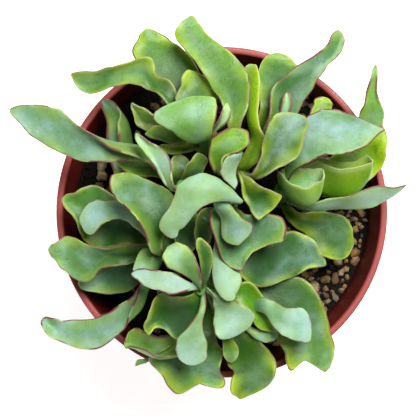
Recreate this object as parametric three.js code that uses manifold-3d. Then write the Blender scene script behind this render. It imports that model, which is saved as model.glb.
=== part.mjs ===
// Ripple jade: a succulent with thick waved leaves, on seven stems rooted in gritty soil in a round pot.
// Millimetres, +Z up. The origin is the middle of the pot's flat base.
import * as THREE from "three";
import { mergeVertices } from "three/addons/utils/BufferGeometryUtils.js";
import Module from "manifold-3d";

const wasm = await Module();
wasm.setup();

// Pot
const POT_HEIGHT = 92;
const RIM_RADIUS = 54;
const RIM_WIDTH = 2.1;
const COLLAR_HEIGHT = 16;
const COLLAR_STEP = 1.6;
const BASE_RADIUS = 38;
const WALL = 1.8;
const FLOOR = 2.4;
const POT_SIDES = 48;
const DRAIN_RADIUS = 4;
const DRAIN_CIRCLE = 22;
const DRAIN_COUNT = 4;
const BASE_CHAMFER = 1;
const HOLE_SIDES = 12;
const DRILLED_PAST = 1;

// Soil and gravel
const GAP = 0.35;
const SOIL_BELOW_RIM = 15;
const SOIL_CROWN = 1.2;
const PEBBLE_COUNT = 26;
const PEBBLE_RADIUS = [1.3, 2.9];
const PEBBLE_SHAPE = [1, 0.8, 0.7];
const PEBBLE_OFF_WALL = 3.5;
const STEM_PLAY = 0.8;
const CLEAR_OF_GRAVEL = 9;
const SEED = 20;

// Stems
const STEM_RADIUS = 2.6;
const STEM_SIDES = 8;
const STEM_STEPS = 6;
const STRAIGHT_FOOT = 2;
const HIGHEST_ROOT = 0.99;
const ROOTED_DEPTH = 16;

// Leaves
const SIGHT_HEIGHT = 480;
const ROWS_A_RIB = 2;
const LEAF_COLUMNS = 4;
const SMALL_LEAF = 7.5;
const NECK = 0.4;
const LEAF_THICK = 2.2;
const EDGE_THICK = 0.8;
const LIFT = 1.5;
const WAVE_LENGTH = 15;
const WAVE_HEIGHT = 1.5;
const WAVE_ONSET = 2.5;
const WAVE_FADE = 6;
const SCALLOP = 0.35;
const SIDE_SHIFT = 130;
const PHASE_STEP = 137;
const TIP_WIDTH = 0.03;
const BLUNT = 0.6;

// Places on the plant are [x, y, height above the rim], with x and y as they are seen from SIGHT_HEIGHT
// straight above the middle of the rim. Each leaf is, in this order: where it grows on its stem, from 0
// at the soil to 1 at the top; how strongly its margins wave; the ribs across it, from its base on; and
// its tip, with how blunt it is from 0 to 1, where that isn't BLUNT. A rib is its left margin, its middle
// and its right margin. A margin is [x, y], then how far it stands above the rib's middle, where that
// isn't LIFT. A middle that lies midway between its margins is its height alone.
const STEMS = {
  northwest: {
    foot: [-6, 20],
    top: [-5.5, 26, 38],
    leaves: [
      [
        0.97, 0.6,
        [[-11, 22.5, 0], 40.5, [-3.6, 25, 1]],
        [[-17, 26.6, 0], 44.5, [-1.8, 30]],
        [[-22.3, 31, -1], [-12, 33.3, 44.5], [-1.8, 36.4, 1]],
        [-10.5, 37.6, 43],
      ],
      [
        0.85, 0.6,
        [[-10.5, 32.5], 31.5, [-2.5, 32]],
        [[-15.5, 36.2, 1], 31, [-1.2, 38, 1]],
        [[-12.5, 42, 3], 29.5, [-4.2, 43.3, 0]],
        [-11.3, 46.4, 30.5],
      ],
      [
        0.55, 0.4,
        [[-17, 37], 23, [-6, 38]],
        [[-25.5, 45], 22, [-8, 47]],
        [[-29, 52], 20.5, [-13.5, 54, 0]],
        [[-27.3, 57.2], [-23.5, 55.5, 19.5], [-18.5, 56.8, 0]],
        [-24, 60, 19],
      ],
      [
        0.68, 0.4,
        [[-18.5, 36, 2], 27, [-14.5, 38, 1]],
        [[-21, 38.4, 1], 26.7, [-16.8, 42.8, 1]],
        [[-23.4, 40, 1], 26.2, [-21.3, 45.3, 1]],
        [[-26.8, 41], 25.3, [-24.3, 50.4, 2]],
        [[-35, 41.3, 1], 24, [-34.5, 48.3, 3]],
        [[-44.6, 38.5, 0], [-44, 42, 20.5], [-42.5, 45.4, 3.5]],
        [-49.2, 45, 22],
      ],
      [
        0.55, 0.4,
        [[-21, 25.5], 25, [-18, 31, 3]],
        [[-27, 28.2, 1], 25.5, [-23, 32.5, 3]],
        [[-29.4, 32.8, 1], 26, [-27, 34.2, 2]],
        [-29.4, 35.6, 26],
      ],
      [0.62, 0.4, [[-15, 22.6], 30, [-14.5, 27]], [[-20, 23.2], 29, [-20.5, 28, 2]], [-25, 25.3, 28]],
      [
        0.93, 0.2,
        [[-2.3, 28, 1], 40, [0.3, 28, 1]],
        [[-0.6, 31.5, 2], 41.5, [2.6, 31.5, 1]],
        [1.6, 35.6, 41],
      ],
      [0.6, 0.3, [[-12, 19.2], 26, [-11, 22.4]], [[-17, 19.4], 26, [-17, 22.3]], [-21, 21.3, 25]],
    ],
  },
  north: {
    foot: [7, 12],
    top: [3, 14.5, 34],
    leaves: [
      [
        0.72, 0.3,
        [[2, 28, 1], 38, [6.2, 27.8]],
        [[-0.5, 36, 1], 36.5, [8.6, 36, 2.5]],
        [[-4.2, 42.5, 0.5], 34.5, [9, 43.5, 2]],
        [[-9.3, 49, 0.5], 32.5, [3.5, 51.2]],
        [[-15.4, 57.4, 0], 30, [-4.4, 58, 1]],
        [[-14.2, 61, 0], [-11, 60.6, 29], [-7.5, 61.6, 0.5]],
        [-10, 64.1, 28.5],
      ],
      [
        0.82, 0.5,
        [[5.2, 15.5, -2], 34.5, [12, 16.5, 1]],
        [[8.8, 22.5, -3], 35, [15, 23, 2]],
        [[8.6, 29.5, -4], [9.6, 29.5, 35], [12.2, 29.5, 3]],
        [[7.5, 40, -5], [9.5, 40, 33], [11.9, 40, 3]],
        [[7, 46.5, -4], [9, 47, 31], [12, 46.8, 2.5]],
        [9.5, 48.2, 30.5, 0.8],
      ],
      [
        0.45, 0.3,
        [[12.3, 33], 27, [18, 32]],
        [[12, 41], 24, [23.5, 41]],
        [[12.3, 47.5], 21.5, [25, 47]],
        [[15, 51, 0], [18.5, 49.5, 20], [22.5, 50, 0]],
        [18.6, 52, 20],
      ],
      [
        0.55, 0.3,
        [[14.6, 30, 2], 31, [22.5, 27.5, 0.5]],
        [[16, 39.3, 3], 29, [26.8, 35.3, 0]],
        [[22.5, 46.6, 3.5], 27.5, [31.3, 42.8, 0]],
        [[30.3, 50.8, 3.5], 26, [36.8, 49.8, 0]],
        [[35.3, 56.3, 2.5], 25, [39.9, 54.6, 0]],
        [38.3, 59.3, 25, 0.9],
      ],
      [0.7, 0.2, [[18.8, 32.5, 1], 32, [22.2, 32.5, 1]], [[19.7, 36.6], 33, [22.7, 36.8]], [21.3, 39.2, 33]],
      [
        0.98, 0.5,
        [[-2.5, 13, 1], [-1, 13.2, 38], [0.8, 14, 3]],
        [[-4.1, 17.3, 1], [-1, 17.2, 40], [1.2, 17.8, 3.5]],
        [[-3.8, 21.5, 1], [1, 20, 42], [6.5, 19.8, 2.5]],
        [[-2.6, 24.7, 1.5], [2, 22.7, 43], [9.2, 22.3, 2.5]],
        [[-0.8, 26.6, 2], [3, 25.2, 43.5], [7.6, 26.6, 2]],
        [3.4, 27.8, 44.5, 0.2],
      ],
      [
        0.92, 0.3,
        [[7.2, 19.6, -1], [4.8, 19, 42.5], [3, 18.7, 1]],
        [[5.9, 17, -1], [3.2, 16.6, 42], [0.8, 16.9, 1.5]],
        [[4.7, 13.7, -1], [2.1, 13.2, 41], [-0.2, 12.8, 1.5]],
        [[4.9, 10, -1], [3, 9.9, 40.3], [1.2, 10.3, 1]],
        [4.4, 7.2, 39.5, 0],
      ],
      [
        0.85, 0.6,
        [[9.6, 12.6], 39, [12.4, 10.8]],
        [[13.6, 19.4, 2], [16, 17, 39.5], [18, 13.6, 2.5]],
        [[13.8, 27, 2], [19, 23, 39.5], [24, 18.2, 2.5]],
        [[17.5, 32], [22, 27.5, 39], [27.4, 25.2, 2]],
        [27, 31.3, 38],
      ],
      [
        0.8, 0.4,
        [[8, 11.5, 2], 37.5, [5.8, 11, 1]],
        [[12, 8.8, 4], [9.5, 6, 36.5], [7, 6.3, 1]],
        [[16.5, 7.2, 3.5], [12, 4, 37], [9, 2, 0.5]],
        [[19.8, 5.2, 2], [13.8, 2.2, 37.5], [11.4, -2.3, 0]],
        [15.5, -0.1, 37.5],
      ],
    ],
  },
  east: {
    foot: [19, 4],
    top: [19.5, 8.5, 19],
    leaves: [
      [
        0.85, 0.6,
        [[23, 20, 0], 28, [24.5, 14.2, 1]],
        [[27.5, 31.8], [28.5, 24, 29.5], [29.5, 17, 2]],
        [[35.5, 33.4], [35.5, 25.5, 29], [37, 18.5, 2]],
        [[44, 31.6, 1], [44, 26.5, 27], [46, 21]],
        [53.2, 26.8, 23.5, 0],
      ],
      [
        0.97, 0.3,
        [[21, 15.3, 0], [19.4, 11, 23], [18.7, 13.4, 5]],
        [[24, 15, 1], [22, 5.5, 21], [22.5, 9.6, 8]],
        [[28, 14.5, 1], [27, 2.8, 21], [27.3, 8.2, 8]],
        [[31.5, 14.6, 1], [31, 4.3, 23], [31.2, 9.7, 5]],
        [33.4, 11.8, 28],
      ],
      [
        0.6, 0.3,
        [[30.5, 18, 3], [28.5, 8, 14], [31.3, 16.8, 7]],
        [[36.5, 16.8, 3], [36, 5.6, 12.5], [36.8, 14.7, 9]],
        [[42.5, 17, 3], [41.5, 5.4, 12.5], [42.6, 14.6, 9]],
        [[47.2, 18.4, 3], [46.8, 9.8, 14], [47.7, 16.3, 6]],
        [49.2, 17, 19],
      ],
      [
        0.4, 0.6,
        [[30, 14], 7, [33, 5]],
        [[40, 22], 7, [43.5, 6.8]],
        [[48, 26], 8, [50.8, 13.2]],
        [[51.5, 27.5], [51, 22, 9.5], [54.2, 20]],
        [53.3, 27, 10],
      ],
      [
        0.5, 0.4,
        [[30, 3.2, 3], [28.5, 1.8, 14.5], [28, 0.9, -2]],
        [[37.5, 4.6, 5], [37, 2.6, 14.5], [37, 0.8, -3]],
        [[46.5, 7.2, 5], [46.5, 4.2, 13.5], [46.5, 1.1, -3]],
        [[54, 8.3, 3.5], [54, 6, 13.5], [54.3, 3.8, -2]],
        [60.2, 8.8, 14, 0],
      ],
      [
        0.3, 0.4,
        [[26, -0.3, 1], 6, [23, -4.5, 0]],
        [[34, 0.4, 1], [31, -4, 5], [28, -8, 1]],
        [[41.2, -2, 1], [37, -7.5, 4], [32, -14, 1]],
        [[43, -8, 0.5], [39.5, -11, 3], [36, -15.6, 0.5]],
        [41.2, -14.3, 2],
      ],
      [
        0.35, 0.2,
        [[42, 22], 7, [50, 20]],
        [[44.8, 31.5, 1], 10, [52.9, 29.5, 1]],
        [[46.6, 36.6], 12, [51.7, 35.5, 1]],
        [[48.3, 43, 2], 13.5, [50.2, 41.5, 1]],
        [[49, 46, 1], 14.7, [51, 45, 0.5]],
        [50.3, 48, 15.5, 0.3],
      ],
      [
        0.5, 0.4,
        [[28, 28], 14, [33.5, 27]],
        [[29.2, 34.5, 1], 13, [36, 34.5, 0]],
        [[30.3, 36.5, 0.5], 13, [35.5, 36.2, 0]],
        [32.5, 37.6, 13],
      ],
    ],
  },
  centre: {
    foot: [2, 0],
    top: [3.2, 3.5, 34],
    leaves: [
      [
        0.98, 0.3,
        [[6.2, 2.7, 0], 43, [5.6, 4.3, 0]],
        [[2.5, 3.3, -1], 46, [2.2, 8.4, -1]],
        [[-3, 3.4, -1.5], 49.5, [-5, 13, -1.5]],
        [[-6.8, 1.4, -1.5], [-9.5, 6.5, 50], [-13.3, 10, -2]],
        [[-10.2, -2.8, -1.5], 47, [-16.3, 2.7, -1.5]],
        [[-13.5, -6.2, -1], 44, [-20, -3.4, -1.5]],
        [-17, -8.2, 41.5, 1],
      ],
      [
        0.93, 0.3,
        [[2.5, 2.5, 0], 43, [-3, 2.5, -2]],
        [[5.5, -1.2, 0], [2.8, -1.5, 42.5], [-0.5, -2.5, -4]],
        [[10.8, -4.5, 0], [3.5, -6.5, 40], [0.8, -8.8, -1.5]],
        [5.5, -10.8, 38, 0.3],
      ],
      [
        0.7, 0.7,
        [[8, -0.5, 1], [3, -3, 35], [-4, -1, 2]],
        [[15, -0.5], [7, -6.5, 33], [-2.8, -9, 2.5]],
        [[20.3, -3, 2.5], [9.5, -9.5, 31.5], [-0.3, -15.8, 2]],
        [[20, -9.6, 2], [9.8, -11, 31.5], [6.3, -18.9]],
        [10.3, -12.9, 32.5],
      ],
      [
        0.4, 0.6,
        [[13, -9], 23, [5, -19]],
        [[22.5, -5.6, 1], 19.5, [12.5, -24.6, 1]],
        [[29.5, -8.8, 1], 17, [22, -21.8, 1]],
        [[32.3, -13.5, 0.5], 15.5, [28.5, -18.4, 1]],
        [33.9, -17.3, 14.5],
      ],
      [
        0.7, 0.3,
        [[2.5, -9, 0], 31, [-2, -9, 0]],
        [[4.5, -15, -1], 31.5, [-3.3, -16, -1]],
        [[6.1, -21.5, -1], 31.5, [-3.3, -21.3, -1]],
        [[4.8, -27, -1], [2, -26, 31.5], [-0.6, -26.8, -1]],
        [2.5, -28.9, 31, 0.9],
      ],
      [0.5, 0.4, [[-3.5, -3], 24, [-8, 0]], [[-3.5, -9], 23, [-8.5, -7]], [-6, -13, 22]],
    ],
  },
  inner_west: {
    foot: [-12, 6],
    top: [-13, 9, 31],
    leaves: [
      [
        0.95, 0.5,
        [[-17.5, 8.5, 1], 38.5, [-15.5, 8, 3]],
        [[-20.8, 13.8, 0], 39.5, [-16.4, 14, 3]],
        [[-24.6, 18.3, 0], 38.5, [-18.8, 19.8, 3]],
        [[-27.2, 22.3, 1], 36.5, [-23.5, 23.3, 2]],
        [-28, 25.8, 35.5],
      ],
      [
        0.62, 0.2,
        [[-24, 16, 1], [-24.5, 20, 27], [-27, 17.5, 5]],
        [[-34, 16.4, 1], [-34.5, 21.8, 25.5], [-37, 20.9, 4]],
        [[-44, 16, 1], [-44, 23, 24], [-45.5, 27.5, 3]],
        [[-54, 20, 1], 22.5, [-52.3, 33, 2]],
        [[-61, 23.8, 0.5], 21, [-59.5, 35.2]],
        [[-66.5, 29.8, 0.5], 20.3, [-65, 35, 1]],
        [-69.2, 33.2, 20],
      ],
      [0.75, 0.3, [[-12.5, 13.5, 1], 33, [-6, 13, 0]], [[-10, 16.5], 34, [-4.5, 16.5, 0]], [-7.8, 19.4, 35]],
      [0.65, 0.3, [[-16, 13], 30, [-11, 12.5]], [[-16.3, 17.8, 1], 30, [-10.5, 16.5, 0]], [-13, 18.6, 30]],
      [0.5, 0.3, [[-22, 11.5], 21, [-22, 17]], [[-29.5, 12.3, 1], 20, [-29.5, 17.5, 1]], [-34.5, 16.8, 19]],
      [0.5, 0.4, [[-8.5, 0], 19, [-14, -1]], [[-7, -8], 17, [-15, -9]], [-11, -14, 16]],
    ],
  },
  west: {
    foot: [-18, -10],
    top: [-20, -14.5, 26],
    leaves: [
      [
        0.97, 0.8,
        [[-22.6, -12.8, 3], 33, [-19.1, -11.5, 1]],
        [[-25.2, -6.6, 3], 35, [-17.5, -5, 1]],
        [[-30.5, -0.3, 3], [-22, 1, 35.5], [-15, 3, 1]],
        [[-35.3, 5.3, 2], [-26, 7, 35], [-17.5, 8]],
        [[-36, 10.8, 1], [-30, 9.5, 34], [-24, 10.6]],
        [-31.5, 13, 33],
      ],
      [
        0.5, 0.6,
        [[-30, -10.5, 1], 15, [-27, -1, 2]],
        [[-38, -11.5, 1], [-35, -3.5, 12], [-34.5, 6, 4]],
        [[-45.8, -8.6], [-41.5, -1, 12], [-43, 8.3, 4]],
        [[-49, -0.4, 2], [-47, 2.2, 13], [-48.8, 7, 2.5]],
        [-52.2, 4, 14.5],
      ],
      [
        0.72, 0.3,
        [[-27, -6.5, 0], 26, [-24, -2, 1]],
        [[-32, -2.2, 0], 26, [-30, 3.5, 1]],
        [[-37.8, -3.5, 0], 24.5, [-36.5, 3.6, 0]],
        [[-42.8, -7.7, -1], [-41.5, -2, 23], [-42, 3.6, -1]],
        [-46.4, -2.2, 21],
      ],
      [
        0.6, 0.6,
        [[-31, -17, 1], [-30.5, -13.5, 16], [-29, -10.5, 3]],
        [[-38.5, -18.5, 1], [-37.5, -13.5, 14.5], [-36, -12, 3]],
        [[-44.3, -22.8, 0], [-44, -15, 14.5], [-44.5, -9.6, 2]],
        [[-51, -19.3, 0], 14, [-50.5, -7.9]],
        [[-55, -15.3, 0], 13.5, [-54.3, -9.8, 1]],
        [-56.6, -12, 13],
      ],
      [
        0.4, 0.4,
        [[-30, -26, 1], 8, [-30, -15]],
        [[-37.5, -26.4, 1], 6, [-37.5, -15.5]],
        [[-44, -25.8, 1], 4.5, [-44.5, -19]],
        [-46.8, -23.5, 4],
      ],
      [
        0.65, 0.4,
        [[-27.2, -24.5, 4], [-24.5, -24.5, 21], [-28.5, -26.5, -1]],
        [[-28.8, -30.5, 3], [-27.2, -31.5, 19], [-33.8, -30.4, 0]],
        [[-32, -38.3], [-34, -36, 17], [-38, -33, 0]],
        [[-40.5, -44.1, 0.5], 15, [-44, -34.8, 0.5]],
        [[-50.5, -43.4, 1], 12.5, [-51, -35.1, 0.5]],
        [[-57.5, -38.6, 3], [-56, -37, 11], [-56.8, -34, 2]],
        [-59, -35.8, 12.5],
      ],
      [
        0.25, 0.3,
        [[-35, 12, 1], [-29, 12, 0], [-31.5, 12, 5]],
        [[-37.6, 24.5, 1], [-30, 24, 1], [-34.2, 24.5, 6]],
        [[-38.2, 31, 1], [-31.8, 30, 3], [-33.3, 30.5, 5]],
        [[-39.3, 35.3, 1], [-35.5, 34, 5], [-34.3, 34.8, 3]],
        [-37.8, 36.8, 6, 0.9],
      ],
      [
        0.8, 0.3,
        [[-21.5, -19, 0], 28, [-22, -12, 0]],
        [[-25.5, -19.5, 0], 28, [-26, -12.3, 0]],
        [-29, -18.8, 27],
      ],
    ],
  },
  south: {
    foot: [-6, -21],
    top: [-7, -25.5, 29],
    leaves: [
      [
        0.98, 0.3,
        [[-9.3, -22.8, 0], 36, [-6.8, -21.5]],
        [[-13, -19.8, 0], 37, [-7.6, -16.8, 2]],
        [[-17.5, -18, -0.5], 37, [-10.3, -12.4]],
        [[-19, -15, 0], [-16, -13.2, 36.5], [-14, -9.9, 0.5]],
        [-17.8, -11.3, 36],
      ],
      [
        0.93, 0.3,
        [[-10, -25.5, 1], 34.5, [-10.3, -22.8, 0]],
        [[-16.5, -27], 35, [-15.5, -20, 0]],
        [[-22.5, -25.1], 34.5, [-21, -18.7, 0]],
        [[-26.8, -22.3, 1], 33.5, [-26.2, -18.4, 1]],
        [-29.5, -20, 33],
      ],
      [
        0.95, 0.2,
        [[-7, -19.5, 1], [-5, -19.5, 36], [-3.5, -19.5, 0]],
        [[-7.4, -14, 1], [-5.5, -13.5, 38], [-2.6, -14, 1]],
        [[-8.6, -10, 2], [-6.8, -10.5, 39], [-4.8, -10.5, 2]],
        [-7.3, -8.3, 39.5],
      ],
      [
        0.85, 0.5,
        [[-1, -26.8], 27.5, [-3.6, -27, 0]],
        [[5, -29.8, 2], 26, [-2.9, -32, 0]],
        [[10.8, -32.6], [4, -34.5, 25.5], [-2.5, -37, 0]],
        [[10, -36.6, 0.5], [3.5, -38.5, 25], [-1.5, -40.2, 0]],
        [3, -41, 24],
      ],
      [
        0.7, 0.1,
        [[-5.1, -31, 0], 31, [-7.5, -32, 0]],
        [[-6.3, -36.6, 0], 29.5, [-10.6, -36.6, 0]],
        [[-4.9, -41.4, -0.5], 27.6, [-14.7, -41.2, -0.5]],
        [[-4.8, -45.4, -0.5], [-9.8, -45, 25.8], [-14.7, -45.2, -0.5]],
        [-9.7, -49.9, 24, 1],
      ],
      [
        0.8, 0.5,
        [[-9, -38, 0], [-9, -31, 27], [-10, -26.5, 3]],
        [[-14, -42, 0], [-14.5, -33.5, 24], [-16, -26.8, 6]],
        [[-18.4, -38.6, 0], [-19.5, -33.5, 23.5], [-20.8, -27, 6]],
        [[-21.5, -38, 1], [-22, -35.3, 24.5], [-23.6, -33.8, 4]],
        [[-23.6, -40.1, 1], [-24, -37.5, 25], [-25.6, -36.3, 2]],
        [-25, -38.8, 25],
      ],
      [
        0.4, 0.5,
        [[-12, -46, 3], [-12, -43.5, 14], [-12.5, -38.5, 2]],
        [[-19, -46.6, 4], [-19, -46.4, 12], [-19, -39.8, 3]],
        [[-25, -44.8, 4], [-25, -45, 10], [-25, -38.9, 3]],
        [[-30.5, -44.2, 2], [-29.8, -42.5, 9.5], [-29.6, -38.2, 2]],
        [-31.8, -43, 10],
      ],
      [
        0.35, 0.9,
        [[-2, -40, 1], 13, [-14, -40, 1]],
        [[-0.3, -46.5, 2], [-9, -46, 11], [-24.5, -47.8, 1]],
        [[0.2, -52, 2], [-8.5, -51, 9.5], [-20, -52, 0.5]],
        [[0.3, -57.2, 0.5], [-7.5, -54, 8.5], [-15, -60.1, 0]],
        [-7.3, -55.9, 8, 0],
      ],
      [
        0.3, 0.9,
        [[9.5, -38, 1], 14, [1.5, -42, 1]],
        [[15, -44], 12, [1.8, -49.5, 1]],
        [[17.8, -51, 1], [10, -51.5, 10], [4.4, -54]],
        [[16.8, -55.8, 0.5], [9.5, -56.5, 8.5], [2.6, -58.6, 0.5]],
        [6, -61, 7.5, 0.2],
      ],
      [
        0.5, 0.2,
        [[3.6, -40.5, 0], 18.5, [0, -41, 0]],
        [[5.3, -44.5, 0.5], 17.5, [0.4, -45, 0.5]],
        [[4.8, -47.5, 0.3], 17, [1.2, -47.7, 0.3]],
        [3, -48.9, 16.5],
      ],
      [
        0.75, 0.4,
        [[8.5, -28, 0], 19.5, [8.5, -32, 0]],
        [[14, -27.7, 0], [14.2, -30.5, 25.5], [14.3, -33.6, 0]],
        [[20.5, -30.7, 0], 24, [18.5, -39.3, 1]],
        [[26.5, -31.5, 0], 22.5, [25, -42.4]],
        [[29.2, -35, 0], [28, -37.5, 21.5], [28.6, -42.6, 0.5]],
        [29.2, -39, 21],
      ],
      [
        0.5, 0.2,
        [[9.5, -37.2, 0], 17, [9.3, -40, 0]],
        [[14, -38, 0], 16.5, [13.5, -42.5, 0]],
        [[17, -38.2, 0], 16.2, [16.6, -42, 0]],
        [18.8, -39.3, 16],
      ],
      [
        0.4, 0.5,
        [[16, -21, 1], 13, [10, -27, 1]],
        [[27, -21.8], 14, [14, -33.5, 1]],
        [[33.3, -30.3, 2], [26, -33, 13.5], [17, -40, 1]],
        [[36.3, -41, 2], [28, -40, 12], [19.5, -44.2, 1]],
        [[36.3, -48.2, 1], [29, -44.5, 11], [20.8, -48.4, 1]],
        [[33.8, -52.2, 0], [28.8, -47.2, 10.3], [22.6, -51.8, 0]],
        [27.2, -48.4, 10, 0.3],
      ],
      [
        0.3, 0.2,
        [[-17, -47.5], 5, [-17, -44.5]],
        [[-24, -48.9, 0], 5.5, [-24, -47.6, 0]],
        [[-26.5, -49.6, 0], 5.5, [-27.2, -48, 0]],
        [-28.2, -50, 4.5],
      ],
      [
        0.75, 0.3,
        [[4.5, -23.5, 1], 24, [3, -28, 1]],
        [[8.6, -22.2, 3], [8, -26, 23], [7.5, -31, 2]],
        [[13, -27.3, 3], [11.5, -31, 21.5], [10, -35.5, 1]],
        [[16, -34.5, 1], 20, [12.3, -37.5, 1]],
        [16.8, -38.8, 19.5],
      ],
      [0.6, 0.3, [[-13, -29.5], 24, [-13, -24]], [[-18, -29], 23, [-18, -23.5]], [-21, -26, 22]],
    ],
  },
};

// Colour and roughness
const FINISHES = {
  pot: [0xb04a3e, 0.5],
  soil: [0x2b221b, 0.95],
  leaf: [0x74a86a, 0.55],
};

const SAME_POINT = 1e-4;
const RANDOM_FACTOR = 1103515245;
const RANDOM_STEP = 12345;
const RANDOM_RANGE = 2147483648;

// A steady run of numbers from 0 to 1
function randomRun(seed) {
  let state = seed;
  return () => {
    state = (state * RANDOM_FACTOR + RANDOM_STEP) % RANDOM_RANGE;
    return state / RANDOM_RANGE;
  };
}

function toSolid(geometry) {
  const bare = geometry.index ? geometry.clone() : geometry;
  bare.deleteAttribute("normal");
  bare.deleteAttribute("uv");
  const merged = mergeVertices(bare, SAME_POINT);
  return new wasm.Manifold(new wasm.Mesh({
    numProp: 3,
    vertProperties: new Float32Array(merged.attributes.position.array),
    triVerts: new Uint32Array(merged.index.array),
  }));
}

function toGeometry(solid) {
  const { vertProperties, triVerts } = solid.getMesh();
  const geometry = new THREE.BufferGeometry();
  geometry.setAttribute("position", new THREE.BufferAttribute(vertProperties, 3));
  geometry.setIndex(new THREE.BufferAttribute(triVerts, 1));
  geometry.computeVertexNormals();
  return geometry;
}

function named(name, geometry, [colour, roughness]) {
  const material = new THREE.MeshStandardMaterial({ color: colour, roughness, metalness: 0 });
  const mesh = new THREE.Mesh(geometry, material);
  mesh.name = name;
  return mesh;
}

function lathe(profile, sides) {
  const points = profile.map(([radius, height]) => new THREE.Vector2(radius, height));
  return new THREE.LatheGeometry(points, sides).rotateX(Math.PI / 2);
}

function standingCylinder(radius, height, sides, [x, y, z]) {
  return new THREE.CylinderGeometry(radius, radius, height, sides)
    .rotateX(Math.PI / 2)
    .translate(x, y, z + height / 2);
}

// The pot's inner wall leans straight from its floor to its rim
function innerRadius(height) {
  const low = BASE_RADIUS - WALL;
  const high = RIM_RADIUS - RIM_WIDTH;
  return low + (high - low) * (height / POT_HEIGHT);
}

function pot() {
  const collar = POT_HEIGHT - COLLAR_HEIGHT;
  const lip = RIM_WIDTH / 3;
  const profile = [
    [0, 0],
    [BASE_RADIUS - BASE_CHAMFER, 0],
    [BASE_RADIUS, BASE_CHAMFER],
    [innerRadius(collar) + WALL, collar],
    [innerRadius(collar) + WALL + COLLAR_STEP, collar + COLLAR_STEP],
    [RIM_RADIUS, POT_HEIGHT - lip],
    [RIM_RADIUS - lip, POT_HEIGHT],
    [RIM_RADIUS - RIM_WIDTH + lip, POT_HEIGHT],
    [RIM_RADIUS - RIM_WIDTH, POT_HEIGHT - lip],
    [innerRadius(FLOOR), FLOOR],
    [0, FLOOR],
  ];
  let solid = toSolid(lathe(profile, POT_SIDES));
  for (let i = 0; i < DRAIN_COUNT; i += 1) {
    const angle = ((i + 0.5) * 2 * Math.PI) / DRAIN_COUNT;
    const place = [DRAIN_CIRCLE * Math.cos(angle), DRAIN_CIRCLE * Math.sin(angle), -DRILLED_PAST];
    const drill = standingCylinder(DRAIN_RADIUS, FLOOR + 2 * DRILLED_PAST, HOLE_SIDES, place);
    solid = solid.subtract(toSolid(drill));
  }
  return named("pot", toGeometry(solid), FINISHES.pot);
}

// A place seen from above, as a point of the part
function place([x, y, height]) {
  const scale = 1 - height / SIGHT_HEIGHT;
  return new THREE.Vector3(x * scale, y * scale, POT_HEIGHT + height);
}

function stemPath(stem) {
  const soil = POT_HEIGHT - SOIL_BELOW_RIM;
  const [x, y] = stem.foot;
  const top = place(stem.top);
  const path = new THREE.CurvePath();
  const foot = new THREE.Vector3(x, y, soil - ROOTED_DEPTH);
  const collar = new THREE.Vector3(x, y, soil + STRAIGHT_FOOT);
  const bend = new THREE.Vector3(x, y, (soil + top.z) / 2);
  path.add(new THREE.LineCurve3(foot, collar));
  path.add(new THREE.QuadraticBezierCurve3(collar, bend, top));
  return path;
}

function stemSolid(stem) {
  const section = new THREE.Shape().absarc(0, 0, STEM_RADIUS, 0, 2 * Math.PI);
  const geometry = new THREE.ExtrudeGeometry(section, {
    steps: STEM_STEPS,
    curveSegments: STEM_SIDES / 2,
    extrudePath: stemPath(stem),
  });
  return toSolid(geometry);
}

// The lines that a leaf's left margin, middle and right margin follow from its root to its tip
function leafLines(root, ribs, tip) {
  const lines = [[], [], []];
  for (const [left, middle, right] of ribs) {
    const [x, y, height] = Array.isArray(middle)
      ? middle
      : [(left[0] + right[0]) / 2, (left[1] + right[1]) / 2, middle];
    const margin = ([a, b, up = LIFT]) => place([a, b, height + up]);
    [margin(left), place([x, y, height]), margin(right)].forEach((point, k) => lines[k].push(point));
  }
  const middle = lines[1][0];
  return lines.map((line) => {
    const neck = line[0].clone().sub(middle).multiplyScalar(NECK).add(root);
    return new THREE.CatmullRomCurve3([neck, ...line, place(tip)], false, "centripetal");
  });
}

// The way across and the way out of a grid of points at one of them
function grain(grid, row, column) {
  const line = grid[row];
  const across = line[Math.min(column + 1, line.length - 1)].clone().sub(line[Math.max(column - 1, 0)]);
  const ahead = grid[Math.min(row + 1, grid.length - 1)][column].clone();
  const out = across.clone().cross(ahead.sub(grid[Math.max(row - 1, 0)][column]));
  return [across.normalize(), out.normalize()];
}

// Where a row lies from 0 to 1 along a leaf's lines, and how much wider it is so that the tip is round
function closing(row, last, blunt) {
  if (row <= last) {
    return [row / (last + 1), 1];
  }
  const past = Math.min(Math.sin((Math.PI / 2) * (row - last)), 1 - TIP_WIDTH);
  return [(last + past) / (last + 1), ((1 + past) / (1 - past)) ** (blunt / 2)];
}

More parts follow.
